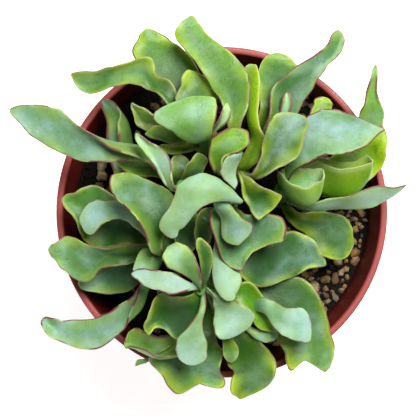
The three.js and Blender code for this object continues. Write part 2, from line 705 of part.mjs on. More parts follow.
// One closed leaf: rows along it, columns across it, and a thin edge between its two faces
function leafSolid(root, leaf, number) {
  const [, wave, ...ribs] = leaf;
  const tip = ribs.pop();
  const [left, middle, right] = leafLines(root, ribs, tip);
  const rows = ROWS_A_RIB * (ribs.length + 1);
  const broad = ribs.some(([a, , b]) => Math.hypot(a[0] - b[0], a[1] - b[1]) > SMALL_LEAF);
  const columns = broad ? LEAF_COLUMNS : LEAF_COLUMNS - 2;
  const waves = root.distanceTo(place(tip)) / WAVE_LENGTH;
  const [, , , blunt = BLUNT] = tip;
  const flat = [];
  for (let row = 0; row <= rows; row += 1) {
    const [t, swell] = closing((row / rows) * (ribs.length + 1), ribs.length, blunt);
    const [a, b, c] = [left, middle, right].map((line) => line.getPoint(t));
    const slant = c.clone().sub(a).multiplyScalar(0.5 * swell);
    const bow = a.add(c).multiplyScalar(0.5).sub(b);
    flat.push([]);
    for (let column = 0; column <= columns; column += 1) {
      const u = (2 * column) / columns - 1;
      flat[row].push(b.clone().addScaledVector(slant, u).addScaledVector(bow, u * u));
    }
  }
  const waved = flat.map((line, row) => line.map((point, column) => {
    const t = row / rows;
    const u = (2 * column) / columns - 1;
    const [across, out] = grain(flat, row, column);
    const start = number * PHASE_STEP + (u < 0 ? SIDE_SHIFT : 0);
    const turn = 2 * Math.PI * waves * t + THREE.MathUtils.degToRad(start);
    const height = wave * WAVE_HEIGHT * u * u * Math.min(1, WAVE_ONSET * t, WAVE_FADE * (1 - t));
    return point.clone()
      .addScaledVector(out, height * Math.sin(turn))
      .addScaledVector(across, Math.sign(u) * SCALLOP * height * Math.cos(turn));
  }));
  const faces = [[], []];
  waved.forEach((line, row) => line.forEach((point, column) => {
    const t = row / rows;
    const u = (2 * column) / columns - 1;
    const [, out] = grain(waved, row, column);
    const thick = EDGE_THICK + (LEAF_THICK - EDGE_THICK) * (1 - u * u) * (1 - t * t);
    faces[0].push(point.clone().addScaledVector(out, thick / 2));
    faces[1].push(point.clone().addScaledVector(out, -thick / 2));
  }));
  return toSolid(closedSheet(faces, rows, columns));
}

// Joins an upper and a lower grid of points, split alike, into one closed sheet
function closedSheet([upper, lower], rows, columns) {
  const index = [];
  const at = (row, column, face) => row * (columns + 1) + column + face * upper.length;
  const quad = (a, b, c, d) => index.push(a, b, c, a, c, d);
  for (let row = 0; row < rows; row += 1) {
    for (let column = 0; column < columns; column += 1) {
      const corners = [[row, column], [row, column + 1], [row + 1, column + 1], [row + 1, column]];
      const [a, b, c, d] = corners.map(([r, k]) => at(r, k, 0));
      const [e, f, g, h] = corners.map(([r, k]) => at(r, k, 1));
      quad(a, b, c, d);
      index.push(e, g, f, e, h, g);
    }
    quad(at(row, 0, 0), at(row + 1, 0, 0), at(row + 1, 0, 1), at(row, 0, 1));
    quad(at(row, columns, 1), at(row + 1, columns, 1), at(row + 1, columns, 0), at(row, columns, 0));
  }
  for (let column = 0; column < columns; column += 1) {
    quad(at(0, column, 1), at(0, column + 1, 1), at(0, column + 1, 0), at(0, column, 0));
    quad(at(rows, column, 0), at(rows, column + 1, 0), at(rows, column + 1, 1), at(rows, column, 1));
  }
  const geometry = new THREE.BufferGeometry().setFromPoints([...upper, ...lower]);
  geometry.setIndex(index);
  return geometry;
}

function leafyStem(name, stem) {
  const path = stemPath(stem);
  const above = path.getLength() - ROOTED_DEPTH;
  let solid = stemSolid(stem);
  stem.leaves.forEach((leaf, number) => {
    const root = path.getPointAt((ROOTED_DEPTH + above * leaf[0] * HIGHEST_ROOT) / path.getLength());
    solid = solid.add(leafSolid(root, leaf, number));
  });
  return named(`leafy_stem_${name}`, toGeometry(solid), FINISHES.leaf);
}

// Soil up to below the rim, with a plain hole for each stem and gravel half sunk in its top
function soil() {
  const top = POT_HEIGHT - SOIL_BELOW_RIM;
  const low = FLOOR + GAP;
  const profile = [
    [0, low],
    [innerRadius(low) - GAP, low],
    [innerRadius(top) - GAP, top],
    [0, top + SOIL_CROWN],
  ];
  let solid = toSolid(lathe(profile, POT_SIDES));
  const random = randomRun(SEED);
  const between = ([least, most]) => least + (most - least) * random();
  for (let i = 0; i < PEBBLE_COUNT; i += 1) {
    const size = between(PEBBLE_RADIUS);
    const distance = (innerRadius(top) - GAP - PEBBLE_OFF_WALL) * Math.sqrt(random());
    const angle = 2 * Math.PI * random();
    const pebble = new THREE.IcosahedronGeometry(size, 0)
      .scale(...PEBBLE_SHAPE)
      .rotateZ(2 * Math.PI * random())
      .translate(distance * Math.cos(angle), distance * Math.sin(angle), top + SOIL_CROWN / 2);
    solid = solid.add(toSolid(pebble));
  }
  for (const { foot: [x, y] } of Object.values(STEMS)) {
    const hole = [x, y, top - ROOTED_DEPTH - GAP];
    const depth = ROOTED_DEPTH + CLEAR_OF_GRAVEL;
    solid = solid.subtract(toSolid(standingCylinder(STEM_RADIUS + STEM_PLAY, depth, HOLE_SIDES, hole)));
  }
  return named("soil", toGeometry(solid), FINISHES.soil);
}

const group = new THREE.Group();
group.add(pot(), soil());
for (const [name, stem] of Object.entries(STEMS)) {
  group.add(leafyStem(name, stem));
}

export default group;
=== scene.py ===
"""A potted ripple jade: thick waved leaves on seven stems, in gritty soil in a round brick-red pot."""

import math
import random

import bpy
from bpy.props import FloatProperty, FloatVectorProperty, IntProperty, PointerProperty
from mathutils import Euler, Matrix, Vector, noise


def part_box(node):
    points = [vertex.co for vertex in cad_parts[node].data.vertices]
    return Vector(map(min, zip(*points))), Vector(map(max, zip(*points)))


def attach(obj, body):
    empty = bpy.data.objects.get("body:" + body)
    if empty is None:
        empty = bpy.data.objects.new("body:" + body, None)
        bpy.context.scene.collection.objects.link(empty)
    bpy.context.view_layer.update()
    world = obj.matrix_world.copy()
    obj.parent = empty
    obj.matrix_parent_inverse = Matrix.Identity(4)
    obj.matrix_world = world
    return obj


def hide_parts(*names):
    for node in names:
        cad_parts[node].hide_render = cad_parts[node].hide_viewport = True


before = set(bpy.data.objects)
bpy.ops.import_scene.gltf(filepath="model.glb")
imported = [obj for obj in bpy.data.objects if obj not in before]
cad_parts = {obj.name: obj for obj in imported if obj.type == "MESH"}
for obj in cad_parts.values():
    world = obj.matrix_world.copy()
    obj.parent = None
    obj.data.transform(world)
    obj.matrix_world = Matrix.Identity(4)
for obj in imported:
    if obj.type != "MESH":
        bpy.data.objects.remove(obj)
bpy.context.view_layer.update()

bl_info = {
    "name": "Potted Ripple Jade",
    "version": (1, 0, 0),
    "blender": (4, 5, 0),
    "location": "View3D > Sidebar > Ripple Jade",
    "description": "Builds a potted ripple jade with its pot, soil, gravel and leafy stems",
    "category": "Add Mesh",
}

MM = 0.001
POT_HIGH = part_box("pot")[1]

# Pot, in millimetres
POT_HEIGHT = POT_HIGH.z / MM
RIM_RADIUS = POT_HIGH.x / MM
RIM_WIDTH = 2.1
LIP_HEIGHT = 2.4
LIP_STEP = 0.35
LIP_SLOPE = 0.6
COLLAR_HEIGHT = 16
COLLAR_STEP = 1.6
COLLAR_SLOPE = 0.5
BASE_RADIUS = 38
FOOT_WIDTH = 2
GROOVE_WIDTH = 2
GROOVE_DEPTH = 0.6
WALL = 1.8
FLOOR = 2.4
DRAIN_RADIUS = 4
DRAIN_CIRCLE = 22
DRAIN_COUNT = 4
DRAIN_SIDES = 40

# Soil, in millimetres
GAP = 0.35
SOIL_BELOW_RIM = 15
SOIL_CROWN = 1.2
SOIL_TOP = POT_HEIGHT - SOIL_BELOW_RIM
SOIL_SIDES = 200
BROAD_HEAVE_WIDTH = 9
SMALL_HEAVE_WIDTH = 2.6
LEVEL_MARGIN = 2

# Loose grains: radii in millimetres, and how near two pebbles lie, where 1 is side by side
PEBBLE_SIZES = (0.7, 2.2)
CRUMB_SIZES = (0.3, 1.2)
PEBBLE_TONES = [
    (0.42, 0.28, 0.13), (0.36, 0.22, 0.09), (0.20, 0.11, 0.05), (0.50, 0.37, 0.21),
    (0.10, 0.07, 0.04), (0.32, 0.15, 0.06), (0.26, 0.19, 0.11),
]
CLOSENESS = 0.72
CLEAR_OF_STEM = 1
LEAST_GRAVEL = 0.015
MOST_GRAVEL_AT = -0.3
GRAIN_SEED = 11

# Stems, in millimetres. A stem swells at its nodes, one in NODE_STEPS steps up it. Between them it is
# BETWEEN_NODES as thick, and from step TAPER_FROM on it loses up to TAPER of its thickness.
STEM_RADIUS = 2.6
STEM_SIDES = 16
STEM_STEPS = 24
STRAIGHT_FOOT = 2
ROOTED_DEPTH = 16
HIGHEST_ROOT = 0.99
NODE_STEPS = 3
BETWEEN_NODES = 0.88
TAPER = 0.35
TAPER_FROM = 16

# Leaves, in millimetres and degrees. NECK is how wide a leaf starts, against its first rib. WAVE_ONSET and
# WAVE_FADE are how soon its waves grow and how late they fade, and SCALLOP is how far they swing out,
# against up. RISE_WIDTH and SLIDE_WIDTH are how broad its frills are, which are full where half the leaf
# is FULL_FRILL wide.
SIGHT_HEIGHT = 480
NECK = 0.4
LEAF_THICK = 2.2
EDGE_THICK = 0.5
LIFT = 1.5
WAVE_LENGTH = 15
WAVE_HEIGHT = 1.5
WAVE_ONSET = 2.5
WAVE_FADE = 6
SCALLOP = 0.35
RISE_WIDTH = 3.1
SLIDE_WIDTH = 2.3
FULL_FRILL = 3
SIDE_SHIFT = 130
PHASE_STEP = 137
TIP_WIDTH = 0.008
BLUNT = 0.6

# Stage, in metres, and the photograph's frame, in pixels
FLOOR_WIDTH = 6
FLOOR_GLOW = 0.85
SIDE_SHARE = 0.12
LIT_POINT = Vector((0, 0, 0.09))
FRAME_WIDTH = 416
RIM_MIDDLE = (221.8, 212.2)
PIXELS_A_MM = 3.069

# Smaller colours, which the settings don't hold
DIRT = (0.03, 0.018, 0.010)
GRIT = (0.30, 0.19, 0.09)
# Painted shade on the soil's left side
LEFT_SOIL_SHADE = (0.003, 0.003, 0.002)
PEBBLE_VEIN = (0.08, 0.045, 0.022)
PEBBLE_DUST = (0.55, 0.42, 0.27)
# Deeper green of the skin where the bloom is rubbed off, also used as painted shade in the middle of each
# leaf
SKIN_SHADE = (0.010, 0.06, 0.008)
UNDERSIDE = (0.20, 0.38, 0.02)
WAX_SPECK = (0.75, 0.85, 0.80)
# Painted shade at the root of each leaf
LEAF_BASE_SHADE = (0.008, 0.05, 0.006)
# Painted highlight along the rounded edge of a leaf
EDGE_HIGHLIGHT = (0.62, 0.66, 0.34)
OLD_GREEN = (0.10, 0.16, 0.04)
CORK = (0.17, 0.11, 0.06)
YOUNG_STEM = (0.09, 0.23, 0.04)

# Places on the plant are (x, y, height above the rim), with x and y as they are seen from SIGHT_HEIGHT
# straight above the middle of the rim. A stem stands on its foot, which is on the soil, and ends at its top.
STEMS = {
    "northwest": {"foot": (-6, 20), "top": (-5.5, 26, 38)},
    "north": {"foot": (7, 12), "top": (3, 14.5, 34)},
    "east": {"foot": (19, 4), "top": (19.5, 8.5, 19)},
    "centre": {"foot": (2, 0), "top": (3.2, 3.5, 34)},
    "inner_west": {"foot": (-12, 6), "top": (-13, 9, 31)},
    "west": {"foot": (-18, -10), "top": (-20, -14.5, 26)},
    "south": {"foot": (-6, -21), "top": (-7, -25.5, 29)},
}

# Each leaf is, in this order: its look; where it grows on its stem, from 0 at the soil to 1 at the top; how
# strongly its margins wave; the ribs across it, from its base on; and its tip, with how blunt it is from
# 0 to 1, where that isn't BLUNT. A rib is its left margin, its middle and its right margin. A margin is
# (x, y), then how far it stands above the rib's middle, where that isn't LIFT. A middle that lies midway
# between its margins is its height alone.
LEAVES = {
    "northwest": [
        ("spring", 0.97, 0.6,
         ((-11, 22.5, 0), 40.5, (-3.6, 25, 1)),
         ((-17, 26.6, 0), 44.5, (-1.8, 30)),
         ((-22.3, 31, -1), (-12, 33.3, 44.5), (-1.8, 36.4, 1)),
         (-10.5, 37.6, 43)),
        ("olive", 0.85, 0.6,
         ((-10.5, 32.5), 31.5, (-2.5, 32)),
         ((-15.5, 36.2, 1), 31, (-1.2, 38, 1)),
         ((-12.5, 42, 3), 29.5, (-4.2, 43.3, 0)),
         (-11.3, 46.4, 30.5)),
        ("grass", 0.55, 0.4,
         ((-17, 37), 23, (-6, 38)),
         ((-25.5, 45), 22, (-8, 47)),
         ((-29, 52), 20.5, (-13.5, 54, 0)),
         ((-27.3, 57.2), (-23.5, 55.5, 19.5), (-18.5, 56.8, 0)),
         (-24, 60, 19)),
        ("meadow", 0.68, 0.4,
         ((-18.5, 36, 2), 27, (-14.5, 38, 1)),
         ((-21, 38.4, 1), 26.7, (-16.8, 42.8, 1)),
         ((-23.4, 40, 1), 26.2, (-21.3, 45.3, 1)),
         ((-26.8, 41), 25.3, (-24.3, 50.4, 2)),
         ((-35, 41.3, 1), 24, (-34.5, 48.3, 3)),
         ((-44.6, 38.5, 0), (-44, 42, 20.5), (-42.5, 45.4, 3.5)),
         (-49.2, 45, 22)),
        ("deep", 0.55, 0.4,
         ((-21, 25.5), 25, (-18, 31, 3)),
         ((-27, 28.2, 1), 25.5, (-23, 32.5, 3)),
         ((-29.4, 32.8, 1), 26, (-27, 34.2, 2)),
         (-29.4, 35.6, 26)),
        ("meadow", 0.62, 0.4,
         ((-15, 22.6), 30, (-14.5, 27)),
         ((-20, 23.2), 29, (-20.5, 28, 2)),
         (-25, 25.3, 28)),
        ("mint", 0.93, 0.2,
         ((-2.3, 28, 1), 40, (0.3, 28, 1)),
         ((-0.6, 31.5, 2), 41.5, (2.6, 31.5, 1)),
         (1.6, 35.6, 41)),
        ("meadow", 0.6, 0.3,
         ((-12, 19.2), 26, (-11, 22.4)),
         ((-17, 19.4), 26, (-17, 22.3)),
         (-21, 21.3, 25)),
    ],
    "north": [
        ("fresh", 0.72, 0.3,
         ((2, 28, 1), 38, (6.2, 27.8)),
         ((-0.5, 36, 1), 36.5, (8.6, 36, 2.5)),
         ((-4.2, 42.5, 0.5), 34.5, (9, 43.5, 2)),
         ((-9.3, 49, 0.5), 32.5, (3.5, 51.2)),
         ((-15.4, 57.4, 0), 30, (-4.4, 58, 1)),
         ((-14.2, 61, 0), (-11, 60.6, 29), (-7.5, 61.6, 0.5)),
         (-10, 64.1, 28.5)),
        ("lime", 0.82, 0.5,
         ((5.2, 15.5, -2), 34.5, (12, 16.5, 1)),
         ((8.8, 22.5, -3), 35, (15, 23, 2)),
         ((8.6, 29.5, -4), (9.6, 29.5, 35), (12.2, 29.5, 3)),
         ((7.5, 40, -5), (9.5, 40, 33), (11.9, 40, 3)),
         ((7, 46.5, -4), (9, 47, 31), (12, 46.8, 2.5)),
         (9.5, 48.2, 30.5, 0.8)),
        ("meadow", 0.45, 0.3,
         ((12.3, 33), 27, (18, 32)),
         ((12, 41), 24, (23.5, 41)),
         ((12.3, 47.5), 21.5, (25, 47)),
         ((15, 51, 0), (18.5, 49.5, 20), (22.5, 50, 0)),
         (18.6, 52, 20)),
        ("frosted", 0.55, 0.3,
         ((14.6, 30, 2), 31, (22.5, 27.5, 0.5)),
         ((16, 39.3, 3), 29, (26.8, 35.3, 0)),
         ((22.5, 46.6, 3.5), 27.5, (31.3, 42.8, 0)),
         ((30.3, 50.8, 3.5), 26, (36.8, 49.8, 0)),
         ((35.3, 56.3, 2.5), 25, (39.9, 54.6, 0)),
         (38.3, 59.3, 25, 0.9)),
        ("mint", 0.7, 0.2,
         ((18.8, 32.5, 1), 32, (22.2, 32.5, 1)),
         ((19.7, 36.6), 33, (22.7, 36.8)),
         (21.3, 39.2, 33)),
        ("rimmed", 0.98, 0.5,
         ((-2.5, 13, 1), (-1, 13.2, 38), (0.8, 14, 3)),
         ((-4.1, 17.3, 1), (-1, 17.2, 40), (1.2, 17.8, 3.5)),
         ((-3.8, 21.5, 1), (1, 20, 42), (6.5, 19.8, 2.5)),
         ((-2.6, 24.7, 1.5), (2, 22.7, 43), (9.2, 22.3, 2.5)),
         ((-0.8, 26.6, 2), (3, 25.2, 43.5), (7.6, 26.6, 2)),
         (3.4, 27.8, 44.5, 0.2)),
        ("pale", 0.92, 0.3,
         ((7.2, 19.6, -1), (4.8, 19, 42.5), (3, 18.7, 1)),
         ((5.9, 17, -1), (3.2, 16.6, 42), (0.8, 16.9, 1.5)),
         ((4.7, 13.7, -1), (2.1, 13.2, 41), (-0.2, 12.8, 1.5)),
         ((4.9, 10, -1), (3, 9.9, 40.3), (1.2, 10.3, 1)),
         (4.4, 7.2, 39.5, 0)),
        ("night", 0.85, 0.6,
         ((9.6, 12.6), 39, (12.4, 10.8)),
         ((13.6, 19.4, 2), (16, 17, 39.5), (18, 13.6, 2.5)),
         ((13.8, 27, 2), (19, 23, 39.5), (24, 18.2, 2.5)),
         ((17.5, 32), (22, 27.5, 39), (27.4, 25.2, 2)),
         (27, 31.3, 38)),
        ("golden", 0.8, 0.4,
         ((8, 11.5, 2), 37.5, (5.8, 11, 1)),
         ((12, 8.8, 4), (9.5, 6, 36.5), (7, 6.3, 1)),
         ((16.5, 7.2, 3.5), (12, 4, 37), (9, 2, 0.5)),
         ((19.8, 5.2, 2), (13.8, 2.2, 37.5), (11.4, -2.3, 0)),
         (15.5, -0.1, 37.5)),
    ],
    "east": [
        ("sky", 0.85, 0.6,
         ((23, 20, 0), 28, (24.5, 14.2, 1)),
         ((27.5, 31.8), (28.5, 24, 29.5), (29.5, 17, 2)),
         ((35.5, 33.4), (35.5, 25.5, 29), (37, 18.5, 2)),
         ((44, 31.6, 1), (44, 26.5, 27), (46, 21)),
         (53.2, 26.8, 23.5, 0)),
        ("scoop", 0.97, 0.3,
         ((21, 15.3, 0), (19.4, 11, 23), (18.7, 13.4, 5)),
         ((24, 15, 1), (22, 5.5, 21), (22.5, 9.6, 8)),
         ((28, 14.5, 1), (27, 2.8, 21), (27.3, 8.2, 8)),
         ((31.5, 14.6, 1), (31, 4.3, 23), (31.2, 9.7, 5)),
         (33.4, 11.8, 28)),
        ("cup", 0.6, 0.3,
         ((30.5, 18, 3), (28.5, 8, 14), (31.3, 16.8, 7)),
         ((36.5, 16.8, 3), (36, 5.6, 12.5), (36.8, 14.7, 9)),
         ((42.5, 17, 3), (41.5, 5.4, 12.5), (42.6, 14.6, 9)),
         ((47.2, 18.4, 3), (46.8, 9.8, 14), (47.7, 16.3, 6)),
         (49.2, 17, 19)),
        ("lime", 0.4, 0.6,
         ((30, 14), 7, (33, 5)),
         ((40, 22), 7, (43.5, 6.8)),
         ((48, 26), 8, (50.8, 13.2)),
         ((51.5, 27.5), (51, 22, 9.5), (54.2, 20)),
         (53.3, 27, 10)),
        ("mint", 0.5, 0.4,
         ((30, 3.2, 3), (28.5, 1.8, 14.5), (28, 0.9, -2)),
         ((37.5, 4.6, 5), (37, 2.6, 14.5), (37, 0.8, -3)),
         ((46.5, 7.2, 5), (46.5, 4.2, 13.5), (46.5, 1.1, -3)),
         ((54, 8.3, 3.5), (54, 6, 13.5), (54.3, 3.8, -2)),
         (60.2, 8.8, 14, 0)),
        ("golden", 0.3, 0.4,
         ((26, -0.3, 1), 6, (23, -4.5, 0)),
         ((34, 0.4, 1), (31, -4, 5), (28, -8, 1)),
         ((41.2, -2, 1), (37, -7.5, 4), (32, -14, 1)),
         ((43, -8, 0.5), (39.5, -11, 3), (36, -15.6, 0.5)),
         (41.2, -14.3, 2)),
        ("spring", 0.35, 0.2,
         ((42, 22), 7, (50, 20)),
         ((44.8, 31.5, 1), 10, (52.9, 29.5, 1)),
         ((46.6, 36.6), 12, (51.7, 35.5, 1)),
         ((48.3, 43, 2), 13.5, (50.2, 41.5, 1)),
         ((49, 46, 1), 14.7, (51, 45, 0.5)),
         (50.3, 48, 15.5, 0.3)),
        ("grass", 0.5, 0.4,
         ((28, 28), 14, (33.5, 27)),
         ((29.2, 34.5, 1), 13, (36, 34.5, 0)),
         ((30.3, 36.5, 0.5), 13, (35.5, 36.2, 0)),
         (32.5, 37.6, 13)),
    ],
    "centre": [
        ("mint", 0.98, 0.3,
         ((6.2, 2.7, 0), 43, (5.6, 4.3, 0)),
         ((2.5, 3.3, -1), 46, (2.2, 8.4, -1)),
         ((-3, 3.4, -1.5), 49.5, (-5, 13, -1.5)),
         ((-6.8, 1.4, -1.5), (-9.5, 6.5, 50), (-13.3, 10, -2)),
         ((-10.2, -2.8, -1.5), 47, (-16.3, 2.7, -1.5)),
         ((-13.5, -6.2, -1), 44, (-20, -3.4, -1.5)),
         (-17, -8.2, 41.5, 1)),
        ("hazy", 0.93, 0.3,
         ((2.5, 2.5, 0), 43, (-3, 2.5, -2)),
         ((5.5, -1.2, 0), (2.8, -1.5, 42.5), (-0.5, -2.5, -4)),
         ((10.8, -4.5, 0), (3.5, -6.5, 40), (0.8, -8.8, -1.5)),
         (5.5, -10.8, 38, 0.3)),
        ("frosted", 0.7, 0.7,
         ((8, -0.5, 1), (3, -3, 35), (-4, -1, 2)),
         ((15, -0.5), (7, -6.5, 33), (-2.8, -9, 2.5)),
         ((20.3, -3, 2.5), (9.5, -9.5, 31.5), (-0.3, -15.8, 2)),
         ((20, -9.6, 2), (9.8, -11, 31.5), (6.3, -18.9)),
         (10.3, -12.9, 32.5)),
        ("dusky", 0.4, 0.6,
         ((13, -9), 23, (5, -19)),
         ((22.5, -5.6, 1), 19.5, (12.5, -24.6, 1)),
         ((29.5, -8.8, 1), 17, (22, -21.8, 1)),
         ((32.3, -13.5, 0.5), 15.5, (28.5, -18.4, 1)),
         (33.9, -17.3, 14.5)),
        ("mint", 0.7, 0.3,
         ((2.5, -9, 0), 31, (-2, -9, 0)),
         ((4.5, -15, -1), 31.5, (-3.3, -16, -1)),
         ((6.1, -21.5, -1), 31.5, (-3.3, -21.3, -1)),
         ((4.8, -27, -1), (2, -26, 31.5), (-0.6, -26.8, -1)),
         (2.5, -28.9, 31, 0.9)),
        ("deep", 0.5, 0.4, ((-3.5, -3), 24, (-8, 0)), ((-3.5, -9), 23, (-8.5, -7)), (-6, -13, 22)),
    ],
    "inner_west": [
        ("mint", 0.95, 0.5,
         ((-17.5, 8.5, 1), 38.5, (-15.5, 8, 3)),
         ((-20.8, 13.8, 0), 39.5, (-16.4, 14, 3)),
         ((-24.6, 18.3, 0), 38.5, (-18.8, 19.8, 3)),
         ((-27.2, 22.3, 1), 36.5, (-23.5, 23.3, 2)),
         (-28, 25.8, 35.5)),
        ("hazy", 0.62, 0.2,
         ((-24, 16, 1), (-24.5, 20, 27), (-27, 17.5, 5)),
         ((-34, 16.4, 1), (-34.5, 21.8, 25.5), (-37, 20.9, 4)),
         ((-44, 16, 1), (-44, 23, 24), (-45.5, 27.5, 3)),
         ((-54, 20, 1), 22.5, (-52.3, 33, 2)),
         ((-61, 23.8, 0.5), 21, (-59.5, 35.2)),
         ((-66.5, 29.8, 0.5), 20.3, (-65, 35, 1)),
         (-69.2, 33.2, 20)),
        ("deep", 0.75, 0.3,
         ((-12.5, 13.5, 1), 33, (-6, 13, 0)),
         ((-10, 16.5), 34, (-4.5, 16.5, 0)),
         (-7.8, 19.4, 35)),
        ("deep", 0.65, 0.3,
         ((-16, 13), 30, (-11, 12.5)),
         ((-16.3, 17.8, 1), 30, (-10.5, 16.5, 0)),
         (-13, 18.6, 30)),
        ("meadow", 0.5, 0.3,
         ((-22, 11.5), 21, (-22, 17)),
         ((-29.5, 12.3, 1), 20, (-29.5, 17.5, 1)),
         (-34.5, 16.8, 19)),
        ("deep", 0.5, 0.4, ((-8.5, 0), 19, (-14, -1)), ((-7, -8), 17, (-15, -9)), (-11, -14, 16)),
    ],
    "west": [
        ("maroon", 0.97, 0.8,
         ((-22.6, -12.8, 3), 33, (-19.1, -11.5, 1)),
         ((-25.2, -6.6, 3), 35, (-17.5, -5, 1)),
         ((-30.5, -0.3, 3), (-22, 1, 35.5), (-15, 3, 1)),
         ((-35.3, 5.3, 2), (-26, 7, 35), (-17.5, 8)),
         ((-36, 10.8, 1), (-30, 9.5, 34), (-24, 10.6)),
         (-31.5, 13, 33)),
        ("meadow", 0.5, 0.6,
         ((-30, -10.5, 1), 15, (-27, -1, 2)),
         ((-38, -11.5, 1), (-35, -3.5, 12), (-34.5, 6, 4)),
         ((-45.8, -8.6), (-41.5, -1, 12), (-43, 8.3, 4)),
         ((-49, -0.4, 2), (-47, 2.2, 13), (-48.8, 7, 2.5)),
         (-52.2, 4, 14.5)),
        ("blue", 0.72, 0.3,
         ((-27, -6.5, 0), 26, (-24, -2, 1)),
         ((-32, -2.2, 0), 26, (-30, 3.5, 1)),
         ((-37.8, -3.5, 0), 24.5, (-36.5, 3.6, 0)),
         ((-42.8, -7.7, -1), (-41.5, -2, 23), (-42, 3.6, -1)),
         (-46.4, -2.2, 21)),
        ("clouded", 0.6, 0.6,
         ((-31, -17, 1), (-30.5, -13.5, 16), (-29, -10.5, 3)),
         ((-38.5, -18.5, 1), (-37.5, -13.5, 14.5), (-36, -12, 3)),
         ((-44.3, -22.8, 0), (-44, -15, 14.5), (-44.5, -9.6, 2)),
         ((-51, -19.3, 0), 14, (-50.5, -7.9)),
         ((-55, -15.3, 0), 13.5, (-54.3, -9.8, 1)),
         (-56.6, -12, 13)),
        ("teal", 0.4, 0.4,
         ((-30, -26, 1), 8, (-30, -15)),
         ((-37.5, -26.4, 1), 6, (-37.5, -15.5)),
         ((-44, -25.8, 1), 4.5, (-44.5, -19)),
         (-46.8, -23.5, 4)),
        ("sky", 0.65, 0.4,
         ((-27.2, -24.5, 4), (-24.5, -24.5, 21), (-28.5, -26.5, -1)),
         ((-28.8, -30.5, 3), (-27.2, -31.5, 19), (-33.8, -30.4, 0)),
         ((-32, -38.3), (-34, -36, 17), (-38, -33, 0)),
         ((-40.5, -44.1, 0.5), 15, (-44, -34.8, 0.5)),
         ((-50.5, -43.4, 1), 12.5, (-51, -35.1, 0.5)),
         ((-57.5, -38.6, 3), (-56, -37, 11), (-56.8, -34, 2)),
         (-59, -35.8, 12.5)),
        ("hazy", 0.25, 0.3,
         ((-35, 12, 1), (-29, 12, 0), (-31.5, 12, 5)),
         ((-37.6, 24.5, 1), (-30, 24, 1), (-34.2, 24.5, 6)),
         ((-38.2, 31, 1), (-31.8, 30, 3), (-33.3, 30.5, 5)),
         ((-39.3, 35.3, 1), (-35.5, 34, 5), (-34.3, 34.8, 3)),
         (-37.8, 36.8, 6, 0.9)),
        ("stalked", 0.8, 0.3,
         ((-21.5, -19, 0), 28, (-22, -12, 0)),
         ((-25.5, -19.5, 0), 28, (-26, -12.3, 0)),
         (-29, -18.8, 27)),
    ],
    "south": [
        ("stalked", 0.98, 0.3,
         ((-9.3, -22.8, 0), 36, (-6.8, -21.5)),
         ((-13, -19.8, 0), 37, (-7.6, -16.8, 2)),
         ((-17.5, -18, -0.5), 37, (-10.3, -12.4)),
         ((-19, -15, 0), (-16, -13.2, 36.5), (-14, -9.9, 0.5)),
         (-17.8, -11.3, 36)),
        ("pale", 0.93, 0.3,
         ((-10, -25.5, 1), 34.5, (-10.3, -22.8, 0)),
         ((-16.5, -27), 35, (-15.5, -20, 0)),
         ((-22.5, -25.1), 34.5, (-21, -18.7, 0)),
         ((-26.8, -22.3, 1), 33.5, (-26.2, -18.4, 1)),
         (-29.5, -20, 33)),
        ("shade", 0.95, 0.2,
         ((-7, -19.5, 1), (-5, -19.5, 36), (-3.5, -19.5, 0)),
         ((-7.4, -14, 1), (-5.5, -13.5, 38), (-2.6, -14, 1)),
         ((-8.6, -10, 2), (-6.8, -10.5, 39), (-4.8, -10.5, 2)),
         (-7.3, -8.3, 39.5)),
        ("mint", 0.85, 0.5,
         ((-1, -26.8), 27.5, (-3.6, -27, 0)),
         ((5, -29.8, 2), 26, (-2.9, -32, 0)),
         ((10.8, -32.6), (4, -34.5, 25.5), (-2.5, -37, 0)),
         ((10, -36.6, 0.5), (3.5, -38.5, 25), (-1.5, -40.2, 0)),
         (3, -41, 24)),
        ("mint", 0.7, 0.1,
         ((-5.1, -31, 0), 31, (-7.5, -32, 0)),
         ((-6.3, -36.6, 0), 29.5, (-10.6, -36.6, 0)),
         ((-4.9, -41.4, -0.5), 27.6, (-14.7, -41.2, -0.5)),
         ((-4.8, -45.4, -0.5), (-9.8, -45, 25.8), (-14.7, -45.2, -0.5)),
         (-9.7, -49.9, 24, 1)),
        ("shade", 0.8, 0.5,
         ((-9, -38, 0), (-9, -31, 27), (-10, -26.5, 3)),
         ((-14, -42, 0), (-14.5, -33.5, 24), (-16, -26.8, 6)),
         ((-18.4, -38.6, 0), (-19.5, -33.5, 23.5), (-20.8, -27, 6)),
         ((-21.5, -38, 1), (-22, -35.3, 24.5), (-23.6, -33.8, 4)),
         ((-23.6, -40.1, 1), (-24, -37.5, 25), (-25.6, -36.3, 2)),
         (-25, -38.8, 25)),
        ("spring", 0.4, 0.5,
         ((-12, -46, 3), (-12, -43.5, 14), (-12.5, -38.5, 2)),
         ((-19, -46.6, 4), (-19, -46.4, 12), (-19, -39.8, 3)),
         ((-25, -44.8, 4), (-25, -45, 10), (-25, -38.9, 3)),
         ((-30.5, -44.2, 2), (-29.8, -42.5, 9.5), (-29.6, -38.2, 2)),
         (-31.8, -43, 10)),
        ("sunny", 0.35, 0.9,
         ((-2, -40, 1), 13, (-14, -40, 1)),
         ((-0.3, -46.5, 2), (-9, -46, 11), (-24.5, -47.8, 1)),
         ((0.2, -52, 2), (-8.5, -51, 9.5), (-20, -52, 0.5)),
         ((0.3, -57.2, 0.5), (-7.5, -54, 8.5), (-15, -60.1, 0)),
         (-7.3, -55.9, 8, 0)),
        ("olive", 0.3, 0.9,
         ((9.5, -38, 1), 14, (1.5, -42, 1)),
         ((15, -44), 12, (1.8, -49.5, 1)),
         ((17.8, -51, 1), (10, -51.5, 10), (4.4, -54)),
         ((16.8, -55.8, 0.5), (9.5, -56.5, 8.5), (2.6, -58.6, 0.5)),
         (6, -61, 7.5, 0.2)),
        ("meadow", 0.5, 0.2,
